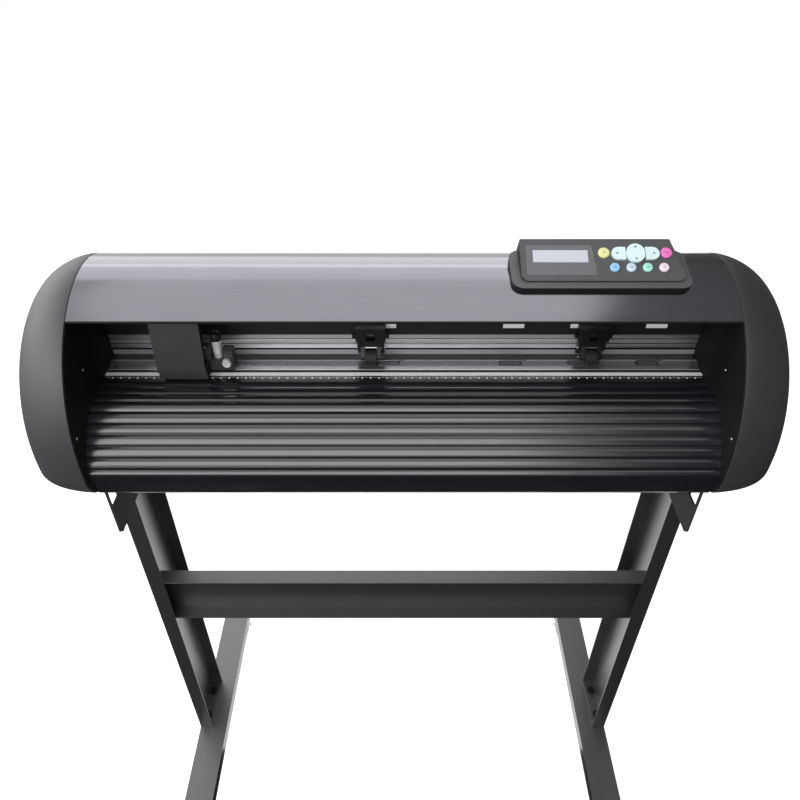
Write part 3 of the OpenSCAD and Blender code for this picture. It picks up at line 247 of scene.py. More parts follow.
def zincSteel():
    # zinc plated steel: pale, cloudy and a little blotched
    return grained("zincSteel", ("#93959a", "#b9bbbf"), (6, 6, 6), (0.24, 0.42), 0.006,
                   {"Metallic": 1.0})


def polishedAlloy():
    # turned aluminium of blade holder and knob: bright, tool marks as rings
    return grained("polishedAlloy", ("#dadbdc", "#f2f3f3"), (3, 3, 0.35), (0.3, 0.42), 0.004,
                   {"Metallic": 0.55})


def blackBolt():
    # blackened screws: dark metal, slightly oily
    return grained("blackBolt", ("#242427", "#3a3a3e"), (1.5, 1.5, 1.5), (0.3, 0.42), 0.01,
                   {"Metallic": 0.8})


def darkRubber():
    # moulded rubber: almost no shine, a dusty bloom in its grain
    return grained("darkRubber", ("#1b1b1c", "#2a2a2b"), (0.9, 0.9, 0.9), (0.6, 0.78), 0.03,
                   {"Specular IOR Level": 0.3})


def whiteAcetal():
    # acetal gear: creamy white and waxy
    return grained("whiteAcetal", ("#d5d1c3", "#e3dfd2"), (4, 4, 4), (0.36, 0.46), 0.008, {})


def machinedBrass():
    # turned brass: warm yellow, fine lathe rings
    return grained("machinedBrass", ("#b38c45", "#c9a35a"), (0.5, 5, 5), (0.22, 0.34), 0.004,
                   {"Metallic": 1.0})


def whiteFilm():
    # printed vinyl and the cutting strip: soft white, scuffed along its length
    return grained("whiteFilm", ("#e6e7e8", "#f4f4f3"), (22, 1.4, 1.4), (0.34, 0.5), 0.01, {})


def siliconeKey(name, low, high):
    # silicone rubber keys: satin, dyed through, very slightly uneven in tone
    return grained(name, (low, high), (1.6, 1.6, 1.6), (0.3, 0.42), 0.01,
                   {"Specular IOR Level": 0.5})


def redRocker():
    # the rocker's moulded polycarbonate: deep red, almost polished
    return grained("redRocker", ("#7c1214", "#94191b"), (3, 3, 3), (0.2, 0.3), 0.004, {})


def gritSteel():
    # grit rollers: a crushed pattern of points about 0.6 mm apart
    return grained("gritSteel", ("#55565a", "#a9abaf"), (0.6, 0.6, 0.6), (0.35, 0.6), 0.12,
                   {"Metallic": 1.0})


def displayGlass():
    # clear acrylic window over a dark mask: glossy, faint dust
    return grained("displayGlass", ("#3f4046", "#4a4b52"), (12, 12, 12), (0.06, 0.12), 0.002,
                   {"Specular IOR Level": 0.7, "Coat Weight": 0.6})


def displayScreen():
    # unlit liquid crystal screen: pale blue grey with fine rows of cells
    return grained("displayScreen", ("#b9bdc9", "#cfd3dd"), (0.7, 9, 9), (0.1, 0.16), 0.003,
                   {"Coat Weight": 0.5})


finishes = {
    "bed_alloy": millAluminium(), "rail_alloy": clearAnodise(), "black_anodised": blackAnodise(),
    "platen_alloy": greyAnodise(), "painted_sheet": powderCoat(), "strip_plastic": whiteFilm(),
    "cap_plastic": mouldedCap(), "motor_paint": blackBolt(), "belt_rubber": darkRubber(),
    "panel_plastic": mouldedPanel(), "display_glass": displayGlass(),
    "inlet_plastic": mouldedBlack(), "rocker_plastic": redRocker(), "stand_paint": standPaint(),
    "bolt_steel": blackBolt(), "shaft_steel": groundSteel(), "rod_steel": zincSteel(),
    "gear_plastic": whiteAcetal(), "pinion_brass": machinedBrass(),
    "pulley_alloy": clearAnodise(), "carriage_paint": powderCoat(),
    "carriage_plastic": carriageShell(), "holder_alloy": polishedAlloy(),
    "pinch_plastic": mouldedBlack(), "pinch_rubber": darkRubber(),
    "key_lime": siliconeKey("keyLime", "#dde193", "#e8ebab"),
    "key_rose": siliconeKey("keyRose", "#ee68bd", "#f684cf"),
    "key_ice": siliconeKey("keyIce", "#d6eff1", "#e4f8f9"),
    "key_sky": siliconeKey("keySky", "#8fc3ea", "#a6d0f0"),
    "key_mist": siliconeKey("keyMist", "#c0d7ea", "#d0e2f0"),
    "key_mint": siliconeKey("keyMint", "#9ee4d6", "#b3ebe1"),
    "key_pearl": siliconeKey("keyPearl", "#e8d4e4", "#f3e3ef"),
    "caster_steel": zincSteel(), "caster_rubber": darkRubber()}
extras = {"cover": brushedBlack(), "tape": tapeAndPaintedShade(), "edge": paintedEdgeHighlight(),
          "ink": legendInk(), "plate": endPlateCoatAndShade(), "lip": railLipShade(), "rim": windowRimHighlight(),
          "grit": gritSteel(), "screen": displayScreen(), "bracket": bracketPaint(),
          "film": finishes["strip_plastic"], "zinc": finishes["rod_steel"],
          "bolt": finishes["bolt_steel"], "nylon": finishes["inlet_plastic"],
          "rubber": finishes["belt_rubber"]}
print("materials are made")


# carried-over nodes: a finish, soft edges and smooth curves for each
slotOf = {part["node"]: part["material_slot"] for part in frame["record"]["subparts"]}
jointAt = {joint["name"]: joint for joint in frame["record"]["behaviour"]["joints"]}


def smoothCurves(mesh, angle):
    # faces that meet at more than angle degrees keep a sharp edge
    mesh.shade_smooth()
    mesh.set_sharp_from_angle(angle=math.radians(angle))


def softEdge(piece, width, angle):
    # width in mm, on edges sharper than angle degrees
    edge = piece.modifiers.new("edge", "BEVEL")
    edge.width = width * mm
    edge.segments = 2
    edge.limit_method = "ANGLE"
    edge.angle_limit = math.radians(angle)


def softenNodes():
    soften = {"width": 0.35, "angle": 38, "merge": 0.002}  # mm, degrees, mm
    for name, made in frame["nodes"].items():
        made.data.materials.clear()
        made.data.materials.append(finishes[slotOf[name]])
        weld = made.modifiers.new("weld", "WELD")
        weld.merge_threshold = soften["merge"] * mm
        smoothCurves(made.data, soften["angle"])
        softEdge(made, soften["width"], soften["angle"])
        flat = made.modifiers.new("flat", "WEIGHTED_NORMAL")  # broad faces stay flat
        flat.mode = "FACE_AREA"
        flat.weight = 50


def finishFaces(node, finish, chosen):
    # gives the faces whose centre passes the test a finish of their own
    mesh = frame["nodes"][node].data
    mesh.materials.append(finish)
    for face in mesh.polygons:
        if chosen(face.center, face.normal):
            face.material_index = len(mesh.materials) - 1


def offAxis(centre, y, z):
    return math.hypot(centre.y - y, centre.z - z)


softenNodes()
for node, finish in (("top_cover", "cover"), ("end_plates", "plate"),
                     ("stand_brackets", "bracket")):
    frame["nodes"][node].data.materials[0] = extras[finish]
bead = {"front": -65.6, "top": 1068}  # bead along the cover's lower edge, in mm
# painted shade: the bead's faces take the end plates' matte black
finishFaces("top_cover", extras["plate"],
            lambda c, n: c.y < bead["front"] * mm and c.z < bead["top"] * mm)
# painted shade: the keypad's sides and steps take the end plates' matte black
for node in ("panel_housing", "panel_face"):
    finishFaces(node, extras["plate"], lambda c, n: n.z < 0.55)  # sides and steps
# mm above the rail's foot: the lip's top, then each groove's range with its depth; the lip gets
# painted shade in grey, the grooves painted shade in black
rail = {"lip": 7.5, "grooves": (((3.9, 14.1), 7.2), ((15.5, 39.0), 1.3))}
railFront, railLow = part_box("guide_rail")[0][1:3]
# painted shade: the lip's front faces take a flat mid grey
finishFaces("guide_rail", extras["lip"], lambda c, n: n.y < -0.5
            and c.y < railFront + 0.2 * mm and c.z < railLow + rail["lip"] * mm)
# painted shade: the grooves' faces take the black tape finish
for grooveZ, grooveY in rail["grooves"]:
    finishFaces("guide_rail", extras["tape"], lambda c, n: abs(n.x) < 0.5
                and railFront + 0.3 * mm < c.y < railFront + grooveY * mm
                and railLow + grooveZ[0] * mm < c.z < railLow + grooveZ[1] * mm)


def jointPlace(name):
    return Vector(jointAt[name]["pos_m"])


def finishRound(node, finish, joint, radius, outside=False):
    # faces nearer to a joint's axis than radius, or further from it
    axis = jointPlace(joint)
    finishFaces(node, extras[finish],
                lambda c, n: (offAxis(c, axis.y, axis.z) > radius * mm) == outside)


edgeOf = {"roller": 7.6, "pin": 2.1, "hub": 17}  # radii in mm at which a finish changes
finishRound("grit_shaft", "grit", "feed_spin", edgeOf["roller"], outside=True)
for number in (1, 2):
    finishRound(f"pinch_arm_{number}", "bolt", f"pinch_wheel_spin_{number}", edgeOf["pin"])
    finishRound(f"pinch_bracket_{number}", "zinc", f"pinch_lift_{number}", edgeOf["pin"])
for number in (1, 2, 3, 4):
    finishRound(f"caster_wheel_{number}", "nylon", f"caster_roll_{number}", edgeOf["hub"])
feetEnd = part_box("stand_feet")[1][1] - 0.5 * mm
finishFaces("stand_feet", extras["rubber"], lambda c, n: abs(c.y) > feetEnd)  # end plugs
pins = {"deep": 5, "halfWidth": 8.2, "up": 13, "halfHeight": 5}  # the inlet's contacts, in mm
inletLow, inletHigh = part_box("power_inlet")
inletMiddle = (Vector(inletLow) + Vector(inletHigh)) / 2
finishFaces("power_inlet", extras["zinc"], lambda c, n: c.y < inletHigh[1] - pins["deep"] * mm
            and abs(n.y) < 0.5 and c.z < inletMiddle.z
            and abs(c.x - inletMiddle.x) < pins["halfWidth"] * mm
            and abs(c.z - inletLow[2] - pins["up"] * mm) < pins["halfHeight"] * mm)
print("nodes are finished")


# tools for the added pieces
def looseObject(name, made):
    # an object from a mesh drawn in mm, not yet on a body
    made.transform(Matrix.Scale(mm, 4))
    bmesh.ops.recalc_face_normals(made, faces=made.faces)
    mesh = bpy.data.meshes.new(name)
    made.to_mesh(mesh)
    made.free()
    piece = bpy.data.objects.new(name, mesh)
    bpy.context.scene.collection.objects.link(piece)
    return piece


def addPiece(name, made, body, slot, finish=None, angle=38):
    piece = looseObject(name, made)
    piece.data.materials.append(finish or finishes[slot])
    smoothCurves(piece.data, angle)
    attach(piece, body)
    return piece


def inMm(vector):
    return Vector(vector) / mm


def boxMm(name):
    low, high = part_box(name)
    return inMm(low), inMm(high)


def addRings(made, rings, closed=True):
    # skins a row of rings with the same number of points and, if closed, caps both ends
    loops = [[made.verts.new(point) for point in ring] for ring in rings]
    count = len(loops[0])
    for here, there in zip(loops, loops[1:]):
        for i in range(count):
            j = (i + 1) % count
            made.faces.new((here[i], here[j], there[j], there[i]))
    if closed:
        made.faces.new(loops[0][::-1])
        made.faces.new(loops[-1])


def alongAxis(point, axis):
    # matrix that puts local z along an axis, at a point
    turn = Vector(axis).normalized().to_track_quat("Z", "Y").to_matrix().to_4x4()
    return Matrix.Translation(point) @ turn


def addTurned(made, profile, place, steps, knurl=0.0, knurled=(0, 0)):
    # profile holds radius and height pairs; knurled heights get a toothed radius
    rings = []
    for radius, height in profile:
        ring = []
        for i in range(steps):
            angle = 2 * math.pi * i / steps
            notch = knurl * (i % 2) if knurled[0] <= height <= knurled[1] else 0.0
            spot = Vector(((radius - notch) * math.cos(angle),
                           (radius - notch) * math.sin(angle), height))
            ring.append(place @ spot)
        rings.append(ring)
    addRings(made, rings)


def addBlock(made, low, high, place=Matrix.Identity(4), corner=0.0):
    # a plate with its four upright corners rounded
    points = []
    arcSteps = 4 if corner else 0
    for cx, cy, start in ((high[0], high[1], 0), (low[0], high[1], 90),
                          (low[0], low[1], 180), (high[0], low[1], 270)):
        inX = cx - math.copysign(corner, cx - (low[0] + high[0]) / 2)
        inY = cy - math.copysign(corner, cy - (low[1] + high[1]) / 2)
        for k in range(arcSteps + 1):
            angle = math.radians(start + 90 * k / max(arcSteps, 1))
            points.append((inX + corner * math.cos(angle), inY + corner * math.sin(angle)))
    addRings(made, [[place @ Vector((x, y, z)) for x, y in points] for z in (low[2], high[2])])


def addScrew(made, point, axis, radius, height, kind="socket"):
    # domed head; returns the rings of its pit, six-sided or, on small screws, square
    place = alongAxis(point, axis)
    profile = [(radius, -0.2), (radius, height * 0.45), (radius * 0.9, height * 0.8),
               (radius * 0.7, height), (radius * 0.5, height)]
    sides = 6 if kind == "socket" else 4
    addTurned(made, profile, place, 24)
    pit = radius * (0.46 if kind == "socket" else 0.34)
    return [[place @ Vector((pit * math.cos(2 * math.pi * i / sides),
                             pit * math.sin(2 * math.pi * i / sides), z))
             for i in range(sides)] for z in (height - 0.02, height + 0.02)]


# end caps: a smooth pillow lofted from the body's outline
capForm = {"reach": 162, "rise": 191, "crownY": 18, "crownUp": 60, "backR": 103, "backUp": 148,
           "heelR": 40, "noseR": 44, "bulge": 1.45, "edge": 7.5, "middleUp": 16, "wall": 2.5,
           "slices": 26, "lip": 2.1, "lipWall": 1.35}


def arcPoints(cy, cz, ry, rz, start, stop, count):
    # points on an ellipse from start to stop, in degrees
    return [(cy + ry * math.cos(math.radians(start + (stop - start) * i / count)),
             cz + rz * math.sin(math.radians(start + (stop - start) * i / count)))
            for i in range(count + 1)]


def bodyOutline(inset, floor, back):
    form = capForm
    front = form["crownY"] - form["reach"]
    crown = arcPoints(form["crownY"], floor + form["crownUp"], form["reach"] - inset,
                      form["rise"] - inset, 180, 90, 36)
    shoulder = arcPoints(form["crownY"], floor + form["backUp"], form["backR"] - inset,
                         form["backR"] - inset, 87, 0, 26)
    heel = arcPoints(back - form["heelR"], floor + form["heelR"], form["heelR"] - inset,
                     form["heelR"] - inset, 0, -90, 10)
    nose = arcPoints(front + form["noseR"], floor + form["noseR"], form["noseR"] - inset,
                     form["noseR"] - inset, 270, 180, 10)
    return crown + shoulder + heel + nose


def capLoft(side, inset, depth, start, floor, back, lip=0.0):
    # lip is how far the open end runs on, straight, towards the cover
    made = bmesh.new()
    middle = floor + capForm["middleUp"]
    outline = bodyOutline(inset, floor, back)
    rings = []
    if lip:
        rings.append([Vector((side * (start - lip), y, z)) for y, z in outline])
    for k in range(capForm["slices"] + 1):
        # slices crowd towards the outer end, and the last one stays a little open
        t = math.sin(math.radians(89.6 * k / capForm["slices"]))
        scale = (1 - t ** capForm["bulge"]) ** (1 / capForm["edge"])
        rings.append([Vector((side * (start + depth * t), y * scale,
                              middle + (z - middle) * scale)) for y, z in outline])
    addRings(made, rings)
    return made


def cutWith(piece, tool):
    cut = piece.modifiers.new("cut", "BOOLEAN")
    cut.object = tool
    cut.operation = "DIFFERENCE"
    cut.solver = "EXACT"
    graph = bpy.context.evaluated_depsgraph_get()
    mesh = bpy.data.meshes.new_from_object(piece.evaluated_get(graph))
    piece.modifiers.clear()
    piece.data = mesh


def blockObject(name, low, high):
    made = bmesh.new()
    addBlock(made, low, high)
    return looseObject(name, made)


def makeCaps():
    # the right cap has a pocket at the back, where the inlet and its switch sit
    pocket = {"inX": 12, "width": 50, "low": 40, "high": 104, "deep": 28, "open": 10,
              "seatEdge": 1.5}
    soft = {"bevel": 0.3, "bevelAngle": 40, "smoothAngle": 32}
    wall, lip = capForm["wall"], capForm["lip"]
    for side, node in ((-1, "cap_left"), (1, "cap_right")):
        low, high = boxMm(node)
        start = min(abs(low.x), abs(high.x))
        depth = max(abs(low.x), abs(high.x)) - start - 0.05
        shell = looseObject(f"capShell_{node}",
                            capLoft(side, 0, depth, start, low.z, high.y, lip))
        hollow = looseObject("capHollow", capLoft(side, wall, depth - wall, start - 0.02,
                                                  low.z, high.y))
        made = bmesh.new()
        addRings(made, [[Vector((side * x, y, z))
                         for y, z in bodyOutline(capForm["lipWall"], low.z, high.y)]
                        for x in (start - lip - 1, start + 1)])
        lipHollow = looseObject("capLip", made)
        tools = [hollow, lipHollow]
        cutWith(shell, lipHollow)
        if side > 0:
            near = Vector((start + pocket["inX"], high.y - pocket["deep"],
                           low.z + pocket["low"]))
            far = Vector((near.x + pocket["width"], high.y + pocket["open"],
                          low.z + pocket["high"]))
            grow = Vector((wall, wall, wall))
            recess = blockObject("capRecess", near, far)
            around = blockObject("capAround", near - grow, far + grow)
            inset = pocket["seatEdge"]
            inletLow, inletHigh = boxMm("power_inlet")
            seat = blockObject("capSeat", inletLow + Vector((inset, 0, inset)),
                               inletHigh - Vector((inset, -1, inset)))
            tools += [recess, around, seat]
            cutWith(shell, recess)
            cutWith(hollow, around)
        cutWith(shell, hollow)
        if side > 0:
            cutWith(shell, seat)
        for tool in tools:
            bpy.data.objects.remove(tool)
        shell.data.materials.clear()
        shell.data.materials.append(finishes["cap_plastic"])
        smoothCurves(shell.data, soft["smoothAngle"])
        softEdge(shell, soft["bevel"], soft["bevelAngle"])
        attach(shell, "machine")
        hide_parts(node)


makeCaps()
print("caps are lofted")


# printed and taped lines of the cutting bed, and lines of painted highlight and painted shade
# along the platen and the strip
def surfaceUnder(node, x, y):
    # height of a node's top face under a point, in mm
    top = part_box(node)[1][2] + 50 * mm
    graph = bpy.context.evaluated_depsgraph_get()
    hit = frame["nodes"][node].evaluated_get(graph).ray_cast(
        Vector((x * mm, y * mm, top)), Vector((0, 0, -1)))
    return hit[1].z / mm if hit[0] else top / mm


def makeRuler():
    ruler = {"pitch": 5.28, "back": -22.2, "long": 3.2, "short": 1.1, "width": 2.0, "thin": 0.8,
             "proud": 0.06, "sunk": 0.1, "line": 0.25, "lineEnd": 2, "markEnd": 6}
    low, high = boxMm("cutting_strip")
    made = bmesh.new()
    bpy.context.view_layer.update()

    def strip(x0, x1, y0, y1):
        rings = []
        for y in (y0, (y0 + y1) / 2, y1):
            z = surfaceUnder("front_apron", (x0 + x1) / 2, y)
            under, over = z - ruler["sunk"], z + ruler["proud"]
            rings.append([Vector((x0, y, under)), Vector((x1, y, under)),
                          Vector((x1, y, over)), Vector((x0, y, over))])
        addRings(made, rings)

    strip(low.x + ruler["lineEnd"], high.x - ruler["lineEnd"], ruler["back"],
          ruler["back"] - ruler["line"])
    count = int((high.x - ruler["markEnd"]) // ruler["pitch"])
    for i in range(-count, count + 1):
        wide = ruler["width"] if i % 2 == 0 else ruler["thin"]
        reach = ruler["long"] if i % 2 == 0 else ruler["short"]
        x = i * ruler["pitch"]
        strip(x - wide / 2, x + wide / 2, ruler["back"], ruler["back"] - reach)
    addPiece("rulerMarks", made, "machine", "strip_plastic", extras["film"])


def makeBedEdge():
    # painted highlight along the platen's front edge and along a line further back, and painted
    # shade in a black band along the strip's back edge
    edge = {"depth": 1.8, "proud": 0.06, "sunk": 0.3, "inset": 0.15, "side": 0.2,
            "joint": (13.4, 15.0), "gap": 17, "channel": 4.4}
    low, high = boxMm("platen")
    x0, x1 = low.x + edge["side"], high.x - edge["side"]
    under, over = high.z - edge["sunk"], high.z + edge["proud"]
    # painted highlight: flat bright strips on the platen's top, at its front edge and on a line
    # further back that breaks at each grit roller
    made = bmesh.new()
    addBlock(made, (x0, low.y + edge["inset"], under), (x1, low.y + edge["depth"], over))
    stops = [x0]
    for x in sorted(gritPlaces()):
        stops += [x - edge["gap"], x + edge["gap"]]
    stops.append(x1)
    for left, right in zip(stops[::2], stops[1::2]):
        addBlock(made, (left, edge["joint"][0], under), (right, edge["joint"][1], over))
    addPiece("platenHighlightLines", made, "machine", "platen_alloy", extras["edge"])
    # painted shade: a black band on the strip where the gap between platen and strip lies
    low, high = boxMm("cutting_strip")
    made = bmesh.new()
    addBlock(made, (low.x + edge["side"], high.y - edge["channel"], high.z - edge["sunk"]),
             (high.x - edge["side"], high.y - 0.02, high.z + edge["proud"]))
    addPiece("stripGapShade", made, "machine", "belt_rubber", extras["tape"])


def makeRailTape():
    # black tape along the rail with a white mark over each grit roller
    tape = {"low": 31, "high": 50, "thick": 0.14, "side": 0.3, "sunk": 0.02, "markLow": 41,
            "markHigh": 47, "markShift": (1.5, -6, -3, -7.5), "markLength": 27,
            "markThick": 0.05}
    low, high = boxMm("guide_rail")
    made = bmesh.new()
    addBlock(made, (low.x + tape["side"], low.y - tape["thick"], low.z + tape["low"]),
             (high.x - tape["side"], low.y + tape["sunk"], low.z + tape["high"]))
    addPiece("railTape", made, "machine", "belt_rubber", extras["tape"])
    made = bmesh.new()
    front = low.y - tape["thick"]
    half = tape["markLength"] / 2
    for x, shift in zip(gritPlaces(), tape["markShift"]):
        addBlock(made, (x + shift - half, front - tape["markThick"], low.z + tape["markLow"]),
                 (x + shift + half, front + tape["sunk"], low.z + tape["markHigh"]))
    addPiece("railMarks", made, "machine", "strip_plastic", extras["film"])


def gritPlaces():
    # middles of the grit rollers, read from the rough faces of the feed shaft
    apart = 20  # rollers stand further from each other than this, in mm
    places = []
    for face in frame["nodes"]["grit_shaft"].data.polygons:
        if face.material_index and abs(face.normal.x) < 0.5:
            x = face.center.x / mm
            if all(abs(x - other) > apart for other in places):
                places.append(round(x))
    return sorted(places, reverse=True)


makeRuler()
makeBedEdge()
makeRailTape()
print("bed is marked")


# blade holder and clamp knob
def makeHolder():
    holder = {"grip": (34.5, 50.5), "barrel": 5.7, "radius": 6.0, "ring": 6.75, "knurl": 0.22}
    low, high = boxMm("blade_holder")
    middle = (low + high) / 2
    place = Matrix.Translation((middle.x, middle.y, low.z - 4))  # the blade's tip is at 4
    barrel, collar, ring = holder["barrel"], holder["radius"], holder["ring"]
    made = bmesh.new()
    addTurned(made, [(0.25, 4), (0.5, 4.6), (barrel - 0.9, 8), (barrel - 0.1, 9.4),
                     (barrel, 10), (barrel, 28), (5.8, 33.6), (collar, 34.2), (collar, 34.5),
                     (collar, 50.5), (collar - 0.5, 51.2)],
              place, 64, holder["knurl"], holder["grip"])
    piece = addPiece("bladeHolderBody", made, "tool_slide", "holder_alloy", angle=30)
    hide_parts("blade_holder")
    made = bmesh.new()
    addTurned(made, [(ring - 0.6, 51.1), (ring, 51.8), (ring, 60.6), (ring - 0.7, 61.6),
                     (3.2, 62), (2.4, 62.2), (2.4, 65.4), (2.0, 66)],
              place, 48, 0.3, (51.7, 60.7))
    addPiece("bladeHolderCap", made, "tool_slide", "holder_alloy", extras["nylon"], angle=30)


def makeKnob():
    knob = {"radius": 5.5, "shank": 2.0, "knurl": 0.25}
    low, high = boxMm("clamp_knob")
    middle = (low + high) / 2
    place = alongAxis(Vector((middle.x, low.y, middle.z)), (0, 1, 0))
    r = knob["radius"]
    made = bmesh.new()
    addTurned(made, [(0.6, 0.55), (2.6, 0.4), (4.1, 0.05), (r - 0.5, 0.0), (r, 0.5),
                     (r, 5.4), (r - 0.5, 6.3), (knob["shank"] + 0.6, 6.6),
                     (knob["shank"], 6.7), (knob["shank"], 18.4)],
              place, 48, knob["knurl"], (0.45, 5.6))
    piece = addPiece("clampKnobTurned", made, "clamp_knob", "holder_alloy", angle=30)
    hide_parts("clamp_knob")


makeHolder()
makeKnob()
print("tool is turned")


# keypad: window frame, screen and key signs
keyAxis = Vector(jointAt["key_pink_press"]["axis"]).normalized()
outward = keyAxis if keyAxis.z > 0 else -keyAxis
sideways = Vector((1, 0, 0))
upSlope = outward.cross(sideways)
if upSlope.z < 0:
    upSlope = -upSlope


def nodeSpan(node, axis):
    values = [vertex.co.dot(axis) / mm for vertex in frame["nodes"][node].data.vertices]
    return min(values), max(values)


def faceMatrix(node):
    # local x runs to the right, y up the slope and z out of the face, on top of a node
    x0, x1 = nodeSpan(node, sideways)
    y0, y1 = nodeSpan(node, upSlope)
    top = nodeSpan(node, outward)[1]
    turn = Matrix((sideways, upSlope, outward)).transposed().to_4x4()
    centre = sideways * (x0 + x1) / 2 + upSlope * (y0 + y1) / 2 + outward * top
    return Matrix.Translation(centre) @ turn, (x1 - x0) / 2, (y1 - y0) / 2


def roundedRing(place, corners, r, z):
    # ring through a corner list, each corner replaced by a short curve
    ring = []
    count = len(corners)
    for i, corner in enumerate(corners):
        spot = Vector(corner)
        before = (Vector(corners[i - 1]) - spot).normalized() * r
        after = (Vector(corners[(i + 1) % count]) - spot).normalized() * r
        for k in range(5):
            t = k / 4
            at = spot + before * (1 - t) ** 2 + after * t ** 2
            ring.append(place @ Vector((at.x, at.y, z)))
    return ring


def makeWindow():
    window = {"slant": 4.5, "rim": 0.45, "spread": 0.1, "proud": 0.1, "sunk": 0.4,
              "corner": 1.2, "screenX": (7.3, 71.0), "screenUp": (15.9, 31.7),
              "screenProud": 0.05}
    place, halfX, halfY = faceMatrix("display_window")
    slant, proud, sunk = window["slant"], window["proud"], window["sunk"]

    def outline(i):
        # the window's right side leans in towards its top
        return [(-halfX + i, -halfY + i), (halfX - i, -halfY + i),
                (halfX - slant - i, halfY - i), (-halfX + i, halfY - i)]

    made = bmesh.new()
    rings = [roundedRing(place, outline(i), window["corner"], z)
             for i, z in ((-window["spread"], -sunk), (-window["spread"], proud),
                          (window["rim"], proud), (window["rim"], -sunk))]
    addRings(made, rings + rings[:1], closed=False)
    # painted highlight: the rim is coloured as the light its sawn edge catches
    addPiece("windowRim", made, "machine", "display_glass", extras["rim"])
    made = bmesh.new()
    x0, x1 = window["screenX"]
    y0, y1 = window["screenUp"]
    addBlock(made, (x0 - halfX, y0 - halfY, -0.2),
             (x1 - halfX, y1 - halfY, window["screenProud"]), place, 0.8)
    addPiece("displayScreen", made, "machine", "display_glass", extras["screen"])


def makeSigns():
    sign = {"proud": 0.06, "thick": 0.75, "arrow": 1.7, "fromEnd": 5.0}
    arrowTurn = {"key_left": 180, "key_right": 0}
    dashes = {"key_yellow": (-1.4, 1.6), "key_pink": (-2.4, 2.4), "key_row_1": (-1.9, 1.4),
              "key_row_2": (-1.5, 1.9), "key_row_3": (-2.1, 2.1), "key_row_4": (-1.2, 1.2)}

    def arrow(made, place, x, y, angle):
        # a flat triangle whose tip points along angle
        size = sign["arrow"]
        turn = math.radians(angle)
        corners = [(size, 0), (-size * 0.7, size), (-size * 0.7, -size)]
        spun = [(x + a * math.cos(turn) - b * math.sin(turn),
                 y + a * math.sin(turn) + b * math.cos(turn)) for a, b in corners]
        addRings(made, [[place @ Vector((a, b, z)) for a, b in spun]
                        for z in (-0.15, sign["proud"])])

    def addSign(key, made):
        addPiece(f"sign_{key}", made, key, slotOf[key], extras["ink"])

    for key, angle in arrowTurn.items():
        place, halfX, halfY = faceMatrix(key)
        made = bmesh.new()
        arrow(made, place, math.copysign(halfX * 0.25, 90 - angle), 0, angle)
        addSign(key, made)
    place, halfX, halfY = faceMatrix("key_up_down")
    made = bmesh.new()
    arrow(made, place, 0, halfY - sign["fromEnd"], 90)
    arrow(made, place, 0, -halfY + sign["fromEnd"], -90)
    addSign("key_up_down", made)
    half = sign["thick"] / 2
    for key, (left, right) in dashes.items():
        place = faceMatrix(key)[0]
        made = bmesh.new()
        addBlock(made, (left, -half, -0.1), (right, half, sign["proud"]), place, 0.3)
        addSign(key, made)


makeWindow()
makeSigns()
print("keypad is printed")


# screws, pin heads and small hardware
def screwSet(name, body, slot, finish, spots, radius, height, kind="socket"):
    heads = bmesh.new()
    pits = bmesh.new()
    for point, axis in spots:
        rings = addScrew(heads, point, axis, radius, height, kind)
        addRings(pits, rings)
    addPiece(name, heads, body, slot, finish, angle=50)
    addPiece(name + "Sockets", pits, body, slot, extras["rubber"], angle=50)


def pinHeads(name, body, slot, centre, half, profile, steps, angle=38):
    # a turned head on either end of a pin that lies along X
    made = bmesh.new()
    for side in (-1, 1):
        end = centre + Vector((side * half, 0, 0))
        addTurned(made, profile, alongAxis(end, (side, 0, 0)), steps)
    addPiece(name, made, body, slot, extras["zinc"], angle=angle)


